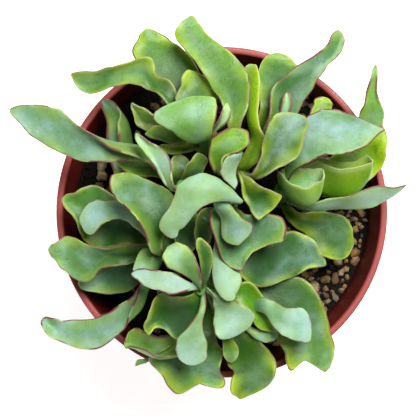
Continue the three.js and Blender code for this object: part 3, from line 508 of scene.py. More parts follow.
         ((3.6, -40.5, 0), 18.5, (0, -41, 0)),
         ((5.3, -44.5, 0.5), 17.5, (0.4, -45, 0.5)),
         ((4.8, -47.5, 0.3), 17, (1.2, -47.7, 0.3)),
         (3, -48.9, 16.5)),
        ("blue", 0.75, 0.4,
         ((8.5, -28, 0), 19.5, (8.5, -32, 0)),
         ((14, -27.7, 0), (14.2, -30.5, 25.5), (14.3, -33.6, 0)),
         ((20.5, -30.7, 0), 24, (18.5, -39.3, 1)),
         ((26.5, -31.5, 0), 22.5, (25, -42.4)),
         ((29.2, -35, 0), (28, -37.5, 21.5), (28.6, -42.6, 0.5)),
         (29.2, -39, 21)),
        ("mint", 0.5, 0.2,
         ((9.5, -37.2, 0), 17, (9.3, -40, 0)),
         ((14, -38, 0), 16.5, (13.5, -42.5, 0)),
         ((17, -38.2, 0), 16.2, (16.6, -42, 0)),
         (18.8, -39.3, 16)),
        ("sunny", 0.4, 0.5,
         ((16, -21, 1), 13, (10, -27, 1)),
         ((27, -21.8), 14, (14, -33.5, 1)),
         ((33.3, -30.3, 2), (26, -33, 13.5), (17, -40, 1)),
         ((36.3, -41, 2), (28, -40, 12), (19.5, -44.2, 1)),
         ((36.3, -48.2, 1), (29, -44.5, 11), (20.8, -48.4, 1)),
         ((33.8, -52.2, 0), (28.8, -47.2, 10.3), (22.6, -51.8, 0)),
         (27.2, -48.4, 10, 0.3)),
        ("frosted", 0.3, 0.2,
         ((-17, -47.5), 5, (-17, -44.5)),
         ((-24, -48.9, 0), 5.5, (-24, -47.6, 0)),
         ((-26.5, -49.6, 0), 5.5, (-27.2, -48, 0)),
         (-28.2, -50, 4.5)),
        ("cup", 0.75, 0.3,
         ((4.5, -23.5, 1), 24, (3, -28, 1)),
         ((8.6, -22.2, 3), (8, -26, 23), (7.5, -31, 2)),
         ((13, -27.3, 3), (11.5, -31, 21.5), (10, -35.5, 1)),
         ((16, -34.5, 1), 20, (12.3, -37.5, 1)),
         (16.8, -38.8, 19.5)),
        ("deep", 0.6, 0.3, ((-13, -29.5), 24, (-13, -24)), ((-18, -29), 23, (-18, -23.5)), (-21, -26, 22)),
    ],
}

# A look is the leaf's own green, then how much pale bloom it wears, how blue that bloom is, how far its
# margin turns yellow, how strong the maroon line on its margin is and how much painted shade darkens its
# base, each from 0 to about 1
LOOKS = {
    "fresh": ((0.16, 0.38, 0.022), 0.16, 0.0, 0.70, 0.55, 0.7),
    "lime": ((0.28, 0.52, 0.005), 0.00, 0.0, 0.80, 0.20, 0.8),
    "cup": ((0.12, 0.36, 0.003), 0.03, 0.0, 0.50, 0.10, 0.6),
    "meadow": ((0.08, 0.24, 0.018), 0.14, 0.1, 0.70, 0.40, 1.0),
    "olive": ((0.09, 0.22, 0.010), 0.12, 0.0, 1.00, 0.60, 0.8),
    "spring": ((0.18, 0.44, 0.050), 0.38, 0.1, 0.55, 0.85, 0.6),
    "mint": ((0.27, 0.52, 0.130), 0.78, 0.3, 0.30, 0.80, 0.4),
    "stalked": ((0.20, 0.46, 0.070), 0.68, 0.2, 0.45, 0.90, 1.1),
    "blue": ((0.16, 0.40, 0.110), 0.72, 0.8, 0.30, 0.90, 0.5),
    "frosted": ((0.07, 0.22, 0.028), 0.38, 0.5, 0.50, 0.95, 0.9),
    "teal": ((0.06, 0.20, 0.040), 0.32, 0.6, 0.50, 0.40, 1.0),
    "dusky": ((0.05, 0.17, 0.020), 0.24, 0.7, 1.00, 0.55, 0.8),
    # Painted shade: this green is darkened for leaves that lie in the shadow of others
    "deep": ((0.020, 0.08, 0.010), 0.04, 0.6, 0.35, 0.15, 0.8),
    "sunny": ((0.11, 0.30, 0.020), 0.34, 0.4, 1.00, 0.70, 0.9),
    "hazy": ((0.13, 0.32, 0.085), 0.54, 0.9, 0.45, 0.90, 0.6),
    "sky": ((0.14, 0.34, 0.090), 0.60, 1.0, 0.40, 1.10, 0.5),
    "pale": ((0.28, 0.44, 0.210), 0.82, 0.5, 0.10, 1.20, 0.3),
    "scoop": ((0.20, 0.44, 0.070), 0.50, 0.1, 0.35, 0.10, 0.6),
    "grass": ((0.13, 0.33, 0.012), 0.08, 0.0, 0.90, 0.95, 0.8),
    # Painted shade: this green is darkened for leaves that lie in the shadow of others
    "shade": ((0.045, 0.16, 0.010), 0.08, 0.3, 0.60, 0.20, 0.8),
    "golden": ((0.05, 0.17, 0.008), 0.12, 0.2, 1.00, 0.40, 1.0),
    "rimmed": ((0.21, 0.46, 0.020), 0.15, 0.0, 0.90, 0.90, 0.9),
    "maroon": ((0.06, 0.20, 0.012), 0.22, 0.6, 0.50, 1.10, 0.7),
    "clouded": ((0.12, 0.31, 0.045), 0.40, 0.4, 0.60, 0.60, 1.2),
    "night": ((0.04, 0.15, 0.015), 0.26, 0.8, 0.70, 0.60, 1.2),
}


class JadePotSettings(bpy.types.PropertyGroup):
    """Sizes and colours of the pot"""

    sides: IntProperty(name="Sides", description="Steps round the pot", default=160, min=24)
    corner: FloatProperty(
        name="Corner", description="Radius of the moulded corners", default=0.6 * MM, unit="LENGTH"
    )
    colour: FloatVectorProperty(
        name="Plastic", description="Colour of the plastic", default=(0.42, 0.075, 0.068), subtype="COLOR"
    )
    # The inside colour is painted shade: the plastic is darkened where the pot's inside wall lies in shadow
    inside: FloatVectorProperty(
        name="Inside", description="Colour of the stained inside wall",
        default=(0.15, 0.009, 0.007), subtype="COLOR",
    )


class JadeSoilSettings(bpy.types.PropertyGroup):
    """Sizes and counts of the soil, its crumbs and its gravel"""

    rings: IntProperty(name="Rings", description="Rings across the soil's top", default=60, min=8)
    crumbs: IntProperty(name="Crumbs", description="Number of soil crumbs", default=2400, min=0)
    pebbles: IntProperty(name="Pebbles", description="Number of pebbles", default=520, min=0)
    heave: FloatProperty(
        name="Heave", description="How uneven the soil lies", default=0.9 * MM, unit="LENGTH"
    )
    colour: FloatVectorProperty(
        name="Soil", description="Colour of the damp soil", default=(0.010, 0.008, 0.005), subtype="COLOR"
    )


class JadeLeafSettings(bpy.types.PropertyGroup):
    """Fineness and colours of the leaves"""

    rows_a_rib: IntProperty(name="Rows", description="Steps from one rib to the next", default=5, min=1)
    columns: IntProperty(name="Columns", description="Steps across a leaf", default=10, min=4)
    frill: FloatProperty(
        name="Frill", description="Depth of the small waves on a leaf's margin", default=0.7 * MM,
        unit="LENGTH",
    )
    bloom: FloatVectorProperty(
        name="Bloom", description="Colour of the waxy bloom", default=(0.45, 0.70, 0.48), subtype="COLOR"
    )
    frost: FloatVectorProperty(
        name="Frost", description="Colour of the bloom where it is blue", default=(0.38, 0.60, 0.60),
        subtype="COLOR",
    )
    # The yellow is partly the leaves' own colour and partly painted light shining through their thin margins
    yellow: FloatVectorProperty(
        name="Yellow", description="Colour near sunlit margins", default=(0.42, 0.60, 0.02), subtype="COLOR"
    )
    blush: FloatVectorProperty(
        name="Blush", description="Colour of the line on the margin", default=(0.17, 0.03, 0.055),
        subtype="COLOR",
    )


class JadeStageSettings(bpy.types.PropertyGroup):
    """Floor, light and camera"""

    floor: FloatVectorProperty(
        name="Floor", description="Colour of the floor", default=(0.90, 0.90, 0.89), subtype="COLOR"
    )
    sight_height: FloatProperty(
        name="Sight height", description="Camera's height above the rim", default=SIGHT_HEIGHT * MM,
        unit="LENGTH",
    )
    key: FloatProperty(name="Key", description="Power of the overhead light", default=18.5, unit="POWER")
    fill: FloatProperty(name="Fill", description="Strength of the light all round", default=0.05)


class Signal:
    """A number in a material that Python's own signs work on."""

    def __init__(self, finish, socket):
        self.finish = finish
        self.socket = socket

    def reckon(self, operation, *values):
        sockets = dict(enumerate(values))
        node = self.finish.node("ShaderNodeMath", {"operation": operation}, sockets)
        return Signal(self.finish, node.outputs[0])

    def __add__(self, other):
        return self.reckon("ADD", self, other)

    def __radd__(self, other):
        return self.reckon("ADD", other, self)

    def __sub__(self, other):
        return self.reckon("SUBTRACT", self, other)

    def __rsub__(self, other):
        return self.reckon("SUBTRACT", other, self)

    def __mul__(self, other):
        return self.reckon("MULTIPLY", self, other)

    def __rmul__(self, other):
        return self.reckon("MULTIPLY", other, self)

    def __pow__(self, other):
        return self.reckon("POWER", self, other)

    def step(self, low, high):
        """0 below low, 1 above high, and smooth between them."""
        settings = {"interpolation_type": "SMOOTHSTEP"}
        sockets = {"Value": self, "From Min": low, "From Max": high}
        node = self.finish.node("ShaderNodeMapRange", settings, sockets)
        return Signal(self.finish, node.outputs[0])


class Finish:
    """A material of one surface, with the one way that its nodes are added."""

    def __init__(self, name, **fixed):
        self.material = bpy.data.materials.new(name)
        self.material.use_nodes = True
        self.nodes = self.material.node_tree.nodes
        self.links = self.material.node_tree.links
        self.surface = self.nodes["Principled BSDF"]
        for key, value in fixed.items():
            self.surface.inputs[key.replace("_", " ")].default_value = value
        self.place = self.node("ShaderNodeTexCoord").outputs["Object"]

    def node(self, kind, settings=None, sockets=None):
        made = self.nodes.new(kind)
        for key, value in (settings or {}).items():
            setattr(made, key, value)
        for key, value in (sockets or {}).items():
            self.feed(made.inputs[key], value)
        return made

    def feed(self, socket, value):
        if isinstance(value, Signal):
            value = value.socket
        if isinstance(value, bpy.types.NodeSocket):
            self.links.new(value, socket)
        else:
            socket.default_value = value

    def noise(self, size, detail=3.0, roughness=0.55, stretch=(1, 1, 1)):
        """Cloudy noise from 0 to 1 whose features are about size metres wide."""
        scaled = self.node("ShaderNodeMapping", None, {"Vector": self.place, "Scale": stretch}).outputs[0]
        sockets = {"Vector": scaled, "Scale": 1 / size, "Detail": detail, "Roughness": roughness}
        return Signal(self, self.node("ShaderNodeTexNoise", None, sockets).outputs[0])

    def spots(self, size):
        """How far each point is from the nearest of a scatter of spots size metres apart, from 0 to 1."""
        sockets = {"Vector": self.place, "Scale": 1 / size}
        return Signal(self, self.node("ShaderNodeTexVoronoi", None, sockets).outputs["Distance"])

    def painted(self, name):
        """The three numbers that a piece carries at each point under this name, and its fourth, if any."""
        carried = self.attribute(name)
        split = self.node("ShaderNodeSeparateXYZ", None, {0: carried.outputs["Vector"]})
        return [Signal(self, output) for output in (*split.outputs, carried.outputs["Alpha"])]

    def attribute(self, name):
        return self.node("ShaderNodeAttribute", {"attribute_name": name})

    def axes(self):
        split = self.node("ShaderNodeSeparateXYZ", None, {0: self.place})
        return [Signal(self, output) for output in split.outputs]

    def mix(self, amount, first, second):
        """A colour between two, with amount from 0 to 1."""
        colours = [(*c, 1) if isinstance(c, (tuple, list)) else c for c in (first, second)]
        node = self.node(
            "ShaderNodeMix", {"data_type": "RGBA", "clamp_factor": True},
            {0: amount, 6: colours[0], 7: colours[1]},
        )
        return node.outputs[2]

    def colour(self, value):
        self.feed(self.surface.inputs["Base Color"], value)

    def roughness(self, value):
        self.feed(self.surface.inputs["Roughness"], value)

    def bump(self, height, depth):
        """Relief of up to depth metres."""
        made = self.node("ShaderNodeBump", None, {"Strength": 1.0, "Distance": depth, "Height": height})
        self.feed(self.surface.inputs["Normal"], made.outputs[0])


def inner_radius(height):
    """The pot's inner wall at a height, both in millimetres."""
    low = BASE_RADIUS - WALL
    high = RIM_RADIUS - RIM_WIDTH
    return low + (high - low) * height / POT_HEIGHT


def plastic_finish(settings):
    """Brick-red plastic, scuffed outside, with painted shade that darkens it towards its foot and over its
    inside wall, and splashes of soil low on the wall.
    """
    made = Finish("brick_red_plastic", IOR=1.46, Specular_IOR_Level=0.45, Coat_Weight=0.06)
    x, y, z = made.axes()
    radius = (x * x + y * y) ** 0.5
    lean = (inner_radius(POT_HEIGHT) - inner_radius(0)) / POT_HEIGHT
    into_wall = radius - (lean * z + inner_radius(0) * MM)
    below_rim = 1 - z.step((POT_HEIGHT - 1.6) * MM, (POT_HEIGHT - 0.5) * MM)
    inside = (1 - into_wall.step(0.5 * MM, 0.9 * MM)) * below_rim
    cloud = made.noise(14 * MM)
    grain = made.noise(0.5 * MM, 2.0)
    scuffs = made.noise(2.5 * MM, 4.0, 0.7, (1, 1, 0.25)).step(0.62, 0.74)
    low = 1 - z.step((SOIL_TOP + 1) * MM, (SOIL_TOP + 8) * MM)
    splash = low * made.noise(1.2 * MM, 4.0).step(0.45, 0.6)
    shade = tuple(0.9 * c for c in settings.colour)
    foot = tuple(0.6 * c for c in settings.colour)
    chalk = tuple(min(1.0, 1.3 * c + 0.07) for c in settings.colour)
    body = made.mix(cloud.step(0.3, 0.7), shade, tuple(settings.colour))
    # Painted shade: the plastic darkens smoothly from the rim towards the foot
    body = made.mix(1 - z.step(0, POT_HEIGHT * MM), body, foot)
    body = made.mix(scuffs * 0.35, body, chalk)
    # Painted shade: the inside wall takes the dark inside colour, with splashes of soil over it
    wall = made.mix(splash * 0.7, tuple(settings.inside), DIRT)
    made.colour(made.mix(inside, body, wall))
    made.roughness(0.38 + 0.18 * cloud + 0.12 * scuffs)
    made.bump(grain * 0.4 + scuffs * 0.3, 0.12 * MM)
    return made.material


def soil_finish(settings):
    """Crumbly soil with flecks of grit, with painted shade that darkens it on the left."""
    made = Finish("damp_gritty_soil", Specular_IOR_Level=0.15)
    crumb = made.noise(1.1 * MM, 5.0, 0.7)
    patch = made.noise(7 * MM)
    dry = tuple(3 * c for c in settings.colour)
    colour = made.mix(crumb.step(0.48, 0.78), tuple(settings.colour), dry)
    fleck = (1 - made.spots(1.6 * MM).step(0.10, 0.16)) * patch.step(0.45, 0.6)
    colour = made.mix(fleck * 0.7, colour, GRIT)
    # Painted shade: the soil darkens towards the left, where the leaves shade it
    damp = 1 - made.axes()[0].step(-20 * MM, 15 * MM)
    made.colour(made.mix(damp * 0.7, colour, LEFT_SOIL_SHADE))
    made.roughness(0.95 - 0.3 * crumb)
    made.bump(crumb + made.noise(0.35 * MM, 2.0) * 0.4, 1.1 * MM)
    return made.material


def gravel_finish():
    """Each pebble in its own tone, with darker veins and pale dust."""
    made = Finish("tan_gravel", Specular_IOR_Level=0.35)
    tone = made.attribute("tone").outputs["Color"]
    grain = made.noise(0.45 * MM, 4.0, 0.7)
    vein = made.noise(1.8 * MM, 3.0)
    colour = made.mix(vein.step(0.42, 0.62) * 0.65, tone, PEBBLE_VEIN)
    made.colour(made.mix(grain.step(0.55, 0.8) * 0.5, colour, PEBBLE_DUST))
    made.roughness(0.65 + 0.25 * grain)
    made.bump(grain + vein, 0.35 * MM)
    return made.material


def leaf_finish(settings):
    """Green skin, bloom rubbed off in mottles, painted shade at its middle and root, a yellow margin partly
    of painted light, and a thin line with a painted highlight on its edge.

    A leaf carries how far each point is from its margin and along it from its root, and 1 on its underside.
    """
    made = Finish(
        "waxy_leaf", IOR=1.45, Specular_IOR_Level=0.42, Subsurface_Weight=0.10, Subsurface_Scale=0.002,
        Coat_Weight=0.05, Coat_Roughness=0.35,
    )
    margin, along, under, _ = made.painted("blade")
    bloom, warm, blush, deep = made.painted("habit")
    skin = made.attribute("tone")
    tone, chill = skin.outputs["Color"], Signal(made, skin.outputs["Alpha"])
    cloud = made.noise(8 * MM, 2.0)
    patch = made.noise(3.5 * MM, 5.0, 0.6)
    grainy = made.noise(0.8 * MM, 5.0, 0.75)
    rubbed = grainy.step(0.44, 0.64) * patch.step(0.40, 0.58)
    fine = made.noise(0.4 * MM, 2.0)
    specks = (1 - made.spots(2.3 * MM).step(0.05, 0.10)) * cloud.step(0.4, 0.6)
    # Painted shade: the middle of each leaf, away from its margin, is darkened towards a deeper green
    inner = margin.step(0.8, 5.0)
    shade = made.mix(0.6, tone, SKIN_SHADE)
    colour = made.mix(inner * (0.25 + 0.5 * cloud.step(0.35, 0.65)) * (1 - 0.8 * bloom), tone, shade)
    # The mottles where the bloom is rubbed off show the same deeper green skin
    colour = made.mix(rubbed * 0.8 * (1 - 0.8 * bloom), colour, shade)
    # Painted shade: each leaf darkens towards its root, deep inside the plant, as far as its look asks
    base = deep * (1 - (along + 0.3 * cloud).step(0.3, 0.9))
    clear = cloud.step(0.32, 0.68)
    wax = bloom * (0.5 + 0.5 * clear) * (1 + 1.6 * (1 - bloom) * (clear - 0.4))
    wax = wax * (1 - 0.75 * rubbed * (1 - 0.75 * bloom)) * (0.7 + 0.6 * grainy)
    wax = wax * (1 - 0.75 * under) * (1 - 0.8 * base)
    pale = made.mix(chill * cloud.step(0.25, 0.6), tuple(settings.bloom), tuple(settings.frost))
    colour = made.mix(wax, colour, pale)
    # The yellow towards the margin is partly the leaf's own colour and partly painted light shining through
    # its thin edge
    broad = 0.65 * (1 - margin.step(0.3, 5.0)) * made.noise(11 * MM, 2.0).step(0.38, 0.6)
    rim = 0.7 * (1 - margin.step(0.2, 1.3)) * made.noise(6 * MM, 2.0).step(0.34, 0.58)
    colour = made.mix(warm * (broad + rim), colour, tuple(settings.yellow))
    colour = made.mix(under * 0.4 * (1 - bloom), colour, UNDERSIDE)
    colour = made.mix(specks * 0.4, colour, WAX_SPECK)
    colour = made.mix(base * 0.9 * (0.6 + 0.4 * inner), colour, LEAF_BASE_SHADE)
    # Painted highlight: a thin pale line along the rounded edge of each leaf
    edge = 1 - margin.step(0.05, 0.4)
    colour = made.mix(edge * 0.35, colour, EDGE_HIGHLIGHT)
    line = blush * (1 - margin.step(0.02, 0.45)) * made.noise(7 * MM, 2.0).step(0.37, 0.51)
    made.colour(made.mix(line, colour, tuple(settings.blush)))
    made.roughness(0.38 + 0.24 * wax + 0.1 * rubbed)
    made.bump(fine * 0.5 + grainy * 0.4 + made.noise(2.2 * MM, 2.0), 0.12 * MM)
    return made.material


def stem_finish():
    """Corky bark low down and young green skin above it."""
    made = Finish("corky_stem", Specular_IOR_Level=0.35)
    bark = made.noise(1.4 * MM, 4.0, 0.6, (1, 1, 0.4))
    young = made.axes()[2].step((SOIL_TOP + 12) * MM, (SOIL_TOP + 34) * MM)
    old = made.mix(bark.step(0.4, 0.65), OLD_GREEN, CORK)
    made.colour(made.mix(young, old, YOUNG_STEM))
    made.roughness(0.7 + 0.2 * bark)
    made.bump(bark, 0.4 * MM)
    return made.material


def floor_finish(colour):
    """A pale matt floor with a glow of its own, which keeps it nearly white."""
    made = Finish("pale_floor", Specular_IOR_Level=0.2)
    made.colour(made.mix(made.noise(0.3), tuple(colour), tuple(0.985 * c for c in colour)))
    made.roughness(0.8)
    made.surface.inputs["Emission Color"].default_value = (1, 1, 1, 1)
    made.surface.inputs["Emission Strength"].default_value = FLOOR_GLOW
    return made.material


def deselect():
    bpy.ops.object.select_all(action="DESELECT")


def alone(obj):
    """Selects one object and nothing else."""
    deselect()
    obj.select_set(True)
    bpy.context.view_layer.objects.active = obj
    return obj


def newest(name):
    """Names the object that an operator has just added."""
    obj = bpy.context.object
    obj.name = name
    obj.data.name = name
    return alone(obj)


def apply_modifiers(obj):
    """Applies all of an object's modifiers, in their order."""
    alone(obj)
    for modifier in list(obj.modifiers):
        bpy.ops.object.modifier_apply(modifier=modifier.name)


def settle(obj):
    """Leaves the object at the origin, with its place in its mesh."""
    alone(obj)
    bpy.ops.object.transform_apply(location=True, rotation=True, scale=True)
    return obj


def joined(objects, name):
    """Joins objects into one, which gets this name."""
    alone(objects[0])
    for obj in objects:
        obj.select_set(True)
    bpy.ops.object.join()
    return newest(name)


def smooth(obj, degrees=40):
    """Shades an object smooth wherever its faces meet at less than this angle."""
    alone(obj)
    bpy.ops.object.shade_smooth_by_angle(angle=math.radians(degrees))


def paint(obj, name, values):
    """Gives each point of a piece the three numbers that its material reads under this name."""
    layer = obj.data.attributes.new(name, "FLOAT_VECTOR", "POINT")
    layer.data.foreach_set("vector", [number for value in values for number in value])


def paint_whole(obj, name, numbers):
    """Gives a whole piece four numbers that its material reads under this name."""
    layer = obj.data.attributes.new(name, "FLOAT_COLOR", "POINT")
    layer.data.foreach_set("color", [*numbers] * len(obj.data.vertices))


def turned(points, corner, sides, name):
    """A solid turned on the pot's axis from (radius, height) points, with its sharp corners rounded.

    Each point is in millimetres and has a third value where its corner is rounded.
    """
    deselect()
    first, *rest = [Vector((radius, 0, height)) * MM for radius, height, *_ in points]
    bpy.ops.mesh.primitive_plane_add(size=MM, location=first)
    obj = newest(name)
    settle(obj)
    bpy.ops.object.mode_set(mode="EDIT")
    bpy.ops.mesh.select_all(action="SELECT")
    bpy.ops.mesh.merge(type="CENTER")
    at = first
    for point in rest:
        bpy.ops.mesh.extrude_region_move(TRANSFORM_OT_translate={"value": point - at})
        at = point
    rounded = [i for i, point in enumerate(points) if len(point) > 2]
    pick_vertices(obj, rounded)
    bpy.ops.mesh.bevel(offset=corner, segments=4, affect="VERTICES")
    bpy.ops.mesh.select_all(action="SELECT")
    bpy.ops.mesh.spin(steps=sides, angle=2 * math.pi, center=(0, 0, 0), axis=(0, 0, 1))
    bpy.ops.mesh.select_all(action="SELECT")
    bpy.ops.mesh.remove_doubles(threshold=0.01 * MM)
    bpy.ops.mesh.normals_make_consistent(inside=False)
    bpy.ops.object.mode_set(mode="OBJECT")
    return obj


def pick_vertices(obj, numbers):
    """Selects some of a mesh's points while it is in edit mode."""
    bpy.ops.mesh.select_mode(type="VERT")
    bpy.ops.mesh.select_all(action="DESELECT")
    bpy.ops.object.mode_set(mode="OBJECT")
    for number in numbers:
        obj.data.vertices[number].select = True
    bpy.ops.object.mode_set(mode="EDIT")


def build_pot(settings):
    """The moulded pot, turned in one piece, with its drain holes cut through its floor."""
    collar = POT_HEIGHT - COLLAR_HEIGHT
    shoulder = inner_radius(collar) + WALL
    foot = BASE_RADIUS - FOOT_WIDTH
    points = [
        (0, 0),
        (foot - GROOVE_WIDTH, 0),
        (foot - GROOVE_WIDTH / 2, GROOVE_DEPTH),
        (foot, 0),
        (BASE_RADIUS, 0, True),
        (shoulder, collar, True),
        (shoulder + COLLAR_STEP, collar + COLLAR_SLOPE, True),
        (RIM_RADIUS - LIP_STEP, POT_HEIGHT - LIP_HEIGHT - LIP_SLOPE, True),
        (RIM_RADIUS, POT_HEIGHT - LIP_HEIGHT, True),
        (RIM_RADIUS, POT_HEIGHT, True),
        (RIM_RADIUS - RIM_WIDTH, POT_HEIGHT, True),
        (inner_radius(collar), collar, True),
        (inner_radius(FLOOR), FLOOR, True),
        (0, FLOOR),
    ]
    pot = turned(points, settings.corner, settings.sides, "moulded_pot")
    for number in range(DRAIN_COUNT):
        angle = (number + 0.5) * 2 * math.pi / DRAIN_COUNT
        place = Vector((math.cos(angle), math.sin(angle), 0)) * DRAIN_CIRCLE * MM
        deselect()
        bpy.ops.mesh.primitive_cylinder_add(
            vertices=DRAIN_SIDES, radius=DRAIN_RADIUS * MM, depth=4 * FLOOR * MM, location=place
        )
        drill = newest("drill")
        cut = pot.modifiers.new("drain hole", "BOOLEAN")
        cut.object = drill
        cut.solver = "EXACT"
        apply_modifiers(pot)
        bpy.data.objects.remove(drill)
    smooth(pot)
    pot.data.materials.append(plastic_finish(settings))
    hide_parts("pot")
    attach(pot, "root")


def heave_at(x, y, depth):
    """How much higher the soil lies at a place, all in metres."""
    broad = noise.noise(Vector((x, y, 0)) / (BROAD_HEAVE_WIDTH * MM))
    small = noise.noise(Vector((x, y, 0.02)) / (SMALL_HEAVE_WIDTH * MM))
    return depth * (0.6 * broad + 0.4 * small)


def crown_at(x, y):
    """The soil's height at a place before it is made uneven, all in metres."""
    edge = inner_radius(SOIL_TOP) * MM
    return (SOIL_TOP + SOIL_CROWN * (1 - math.hypot(x, y) / edge)) * MM


def build_soil_bed(settings):
    """The soil, a solid turned to fill the pot, whose top is made uneven but for its margin."""
    edge = inner_radius(SOIL_TOP) - GAP
    low = FLOOR + GAP
    radii = [edge * (1 - i / settings.rings) for i in range(settings.rings + 1)]
    top = [(radius, crown_at(radius * MM, 0) / MM) for radius in radii]
    points = [(0, low), (inner_radius(low) - GAP, low), *top]
    bed = turned(points, 0, SOIL_SIDES, "soil_bed")
    for vertex in bed.data.vertices:
        x, y, z = vertex.co
        if z > (SOIL_TOP - 1) * MM:
            fade = min(1.0, (edge * MM - math.hypot(x, y)) / (LEVEL_MARGIN * MM))
            vertex.co.z = z + fade * heave_at(x, y, settings.heave)
    smooth(bed, 60)
    bed.data.materials.append(soil_finish(settings))
    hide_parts("soil")
    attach(bed, "root")


def lump(name, subdivisions, seed, roughness):
    """One uneven grain, about 1 mm in radius."""
    deselect()
    bpy.ops.mesh.primitive_ico_sphere_add(subdivisions=subdivisions, radius=MM)
    grain = newest(name)
    shift = Vector((seed * 3.1, seed * 1.7, seed * 2.3))
    for vertex in grain.data.vertices:
        way = vertex.co.normalized()
        vertex.co = way * MM * (1 + roughness * noise.noise(way * 1.3 + shift))
    return grain


def strewn(model, draw, place, size, flat):
    """A copy of a grain, turned at random, made flatter and put in its place."""
    copy = model.copy()
    copy.data = model.data.copy()
    bpy.context.collection.objects.link(copy)
    turn = Euler((draw.uniform(0, 0.7), draw.uniform(0, 0.7), draw.uniform(0, 6.28))).to_matrix().to_4x4()
    shape = Matrix.Diagonal((size, size * draw.uniform(0.7, 0.95), size * flat, 1))
    copy.data.transform(Matrix.Translation(place) @ turn @ shape)
    return copy


def free_of(place, size, others):
    """Whether a grain at a place stays clear of the ones that lie there, all in metres."""
    return all((place.xy - other.xy).length > CLOSENESS * (size + taken) for other, taken in others)


def on_soil(distance, angle, settings):
    """A place on the soil, this far from the pot's axis, all in metres."""
    x, y = distance * math.cos(angle), distance * math.sin(angle)
    return Vector((x, y, crown_at(x, y) + heave_at(x, y, settings.heave)))


def lay_pebbles(settings, edge, draw):
    """Tan and brown pebbles, most of them towards the right and the front, clear of the stems."""
    stems = [
        (Vector((*stem["foot"], 0)) * MM, (STEM_RADIUS + CLEAR_OF_STEM) * MM) for stem in STEMS.values()
    ]
    models = [lump(f"pebble_{n}", 2, n + 1, 0.6) for n in range(5)]
    laid = []
    pebbles = []
    for _ in range(settings.pebbles * 12):
        if len(pebbles) == settings.pebbles:
            break
        size = draw.uniform(*PEBBLE_SIZES) * MM
        distance = (edge - 0.8 * size) * draw.random() ** 0.3
        angle = draw.uniform(-math.pi, math.pi)
        place = on_soil(distance, angle, settings)
        facing = max(0, math.cos(angle - MOST_GRAVEL_AT))
        wanted = LEAST_GRAVEL + (1 - LEAST_GRAVEL) * facing * (distance / edge) ** 2
        if draw.random() > wanted or not free_of(place, size, laid + stems):
            continue
        place.z += 0.25 * size
        pebble = strewn(draw.choice(models), draw, place, size / MM, draw.uniform(0.6, 0.85))
        paint_whole(pebble, "tone", (*draw.choice(PEBBLE_TONES), 1))
        laid.append((place, size))
        pebbles.append(pebble)
    return pebbles, models


def lay_crumbs(settings, edge, draw):
    """Crumbs of soil, evenly over all of it."""
    models = [lump(f"crumb_{n}", 1, n + 9, 0.6) for n in range(4)]
    crumbs = []
    for _ in range(settings.crumbs):
        size = draw.uniform(*CRUMB_SIZES) * MM
        distance = (edge - size * 1.2) * math.sqrt(draw.random())
        place = on_soil(distance, draw.uniform(-math.pi, math.pi), settings)
        place.z += 0.2 * size
        crumbs.append(strewn(draw.choice(models), draw, place, size / MM, draw.uniform(0.6, 1)))
    return crumbs, models


def build_gravel(settings):
    """The loose gravel, in one piece, and the crumbs of soil, in another."""
    draw = random.Random(GRAIN_SEED)
    edge = (inner_radius(SOIL_TOP) - GAP) * MM
    pebbles, pebble_models = lay_pebbles(settings, edge, draw)
    gravel = joined(pebbles, "gravel")
    smooth(gravel, 60)
    gravel.data.materials.append(gravel_finish())
    crumbs, crumb_models = lay_crumbs(settings, edge, draw)
    litter = joined(crumbs, "soil_crumbs")
    litter.data.materials.append(bpy.data.materials["damp_gritty_soil"])
    for model in pebble_models + crumb_models:
        bpy.data.objects.remove(model)
    for piece in (gravel, litter):
        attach(piece, "root")


def place_of(stop):
    """A place seen from above, as a point of the part in millimetres."""
    x, y, height = stop[:3]
    scale = 1 - height / SIGHT_HEIGHT
    return Vector((x * scale, y * scale, POT_HEIGHT + height))


class Route:
    """A smooth line through points, run through from 0 to 1, evenly from point to point."""

    def __init__(self, points):
        self.points = points

    def at(self, t):
        """The point at t, on a curve from b to c that takes its bends from a and d beside them."""
        points = self.points
        spot = t * (len(points) - 1)
        i = min(int(spot), len(points) - 2)
        b, c = points[i], points[i + 1]
        a = points[i - 1] if i > 0 else 2 * points[0] - points[1]
        d = points[i + 2] if i + 2 < len(points) else 2 * points[-1] - points[-2]
        first, middle, last = [math.sqrt((q - p).length) for p, q in ((a, b), (b, c), (c, d))]
        leave = ((b - a) / first - (c - a) / (first + middle) + (c - b) / middle) * middle
        arrive = ((c - b) / middle - (d - b) / (middle + last) + (d - c) / last) * middle
        w = spot - i
        square = 3 * (c - b) - 2 * leave - arrive
        cube = 2 * (b - c) + leave + arrive
        return b + leave * w + square * w * w + cube * w ** 3


def stem_points(stem):
    """Points up a stem's middle line, from its rooted end to its top, in millimetres."""
    x, y = stem["foot"]
    rooted = Vector((x, y, SOIL_TOP - ROOTED_DEPTH))
    foot = Vector((x, y, SOIL_TOP + STRAIGHT_FOOT))
    top = place_of(stem["top"])
    bend = Vector((x, y, (SOIL_TOP + top.z) / 2))
    curve = []
    for i in range(STEM_STEPS + 1):
        t = i / STEM_STEPS
        curve.append((1 - t) ** 2 * foot + 2 * t * (1 - t) * bend + t * t * top)
    return [rooted, *curve]


def point_along(points, distance):
    """The point that is this far along a line of points."""
    for before, after in zip(points, points[1:]):
        step = (after - before).length
        if distance <= step:
            return before.lerp(after, distance / step)
        distance -= step
    return points[-1]


def leaf_lines(root, ribs, tip):
    """The lines that a leaf's left margin, middle and right margin follow from its root to its tip."""
    lines = ([], [], [])
    for left, middle, right in ribs:
        if not isinstance(middle, tuple):
            middle = ((left[0] + right[0]) / 2, (left[1] + right[1]) / 2, middle)
        for line, stop in zip(lines, (raised(left, middle[2]), middle, raised(right, middle[2]))):
            line.append(place_of(stop))
    centre = lines[1][0]
    return [Route([root + (line[0] - centre) * NECK, *line, place_of(tip)]) for line in lines]


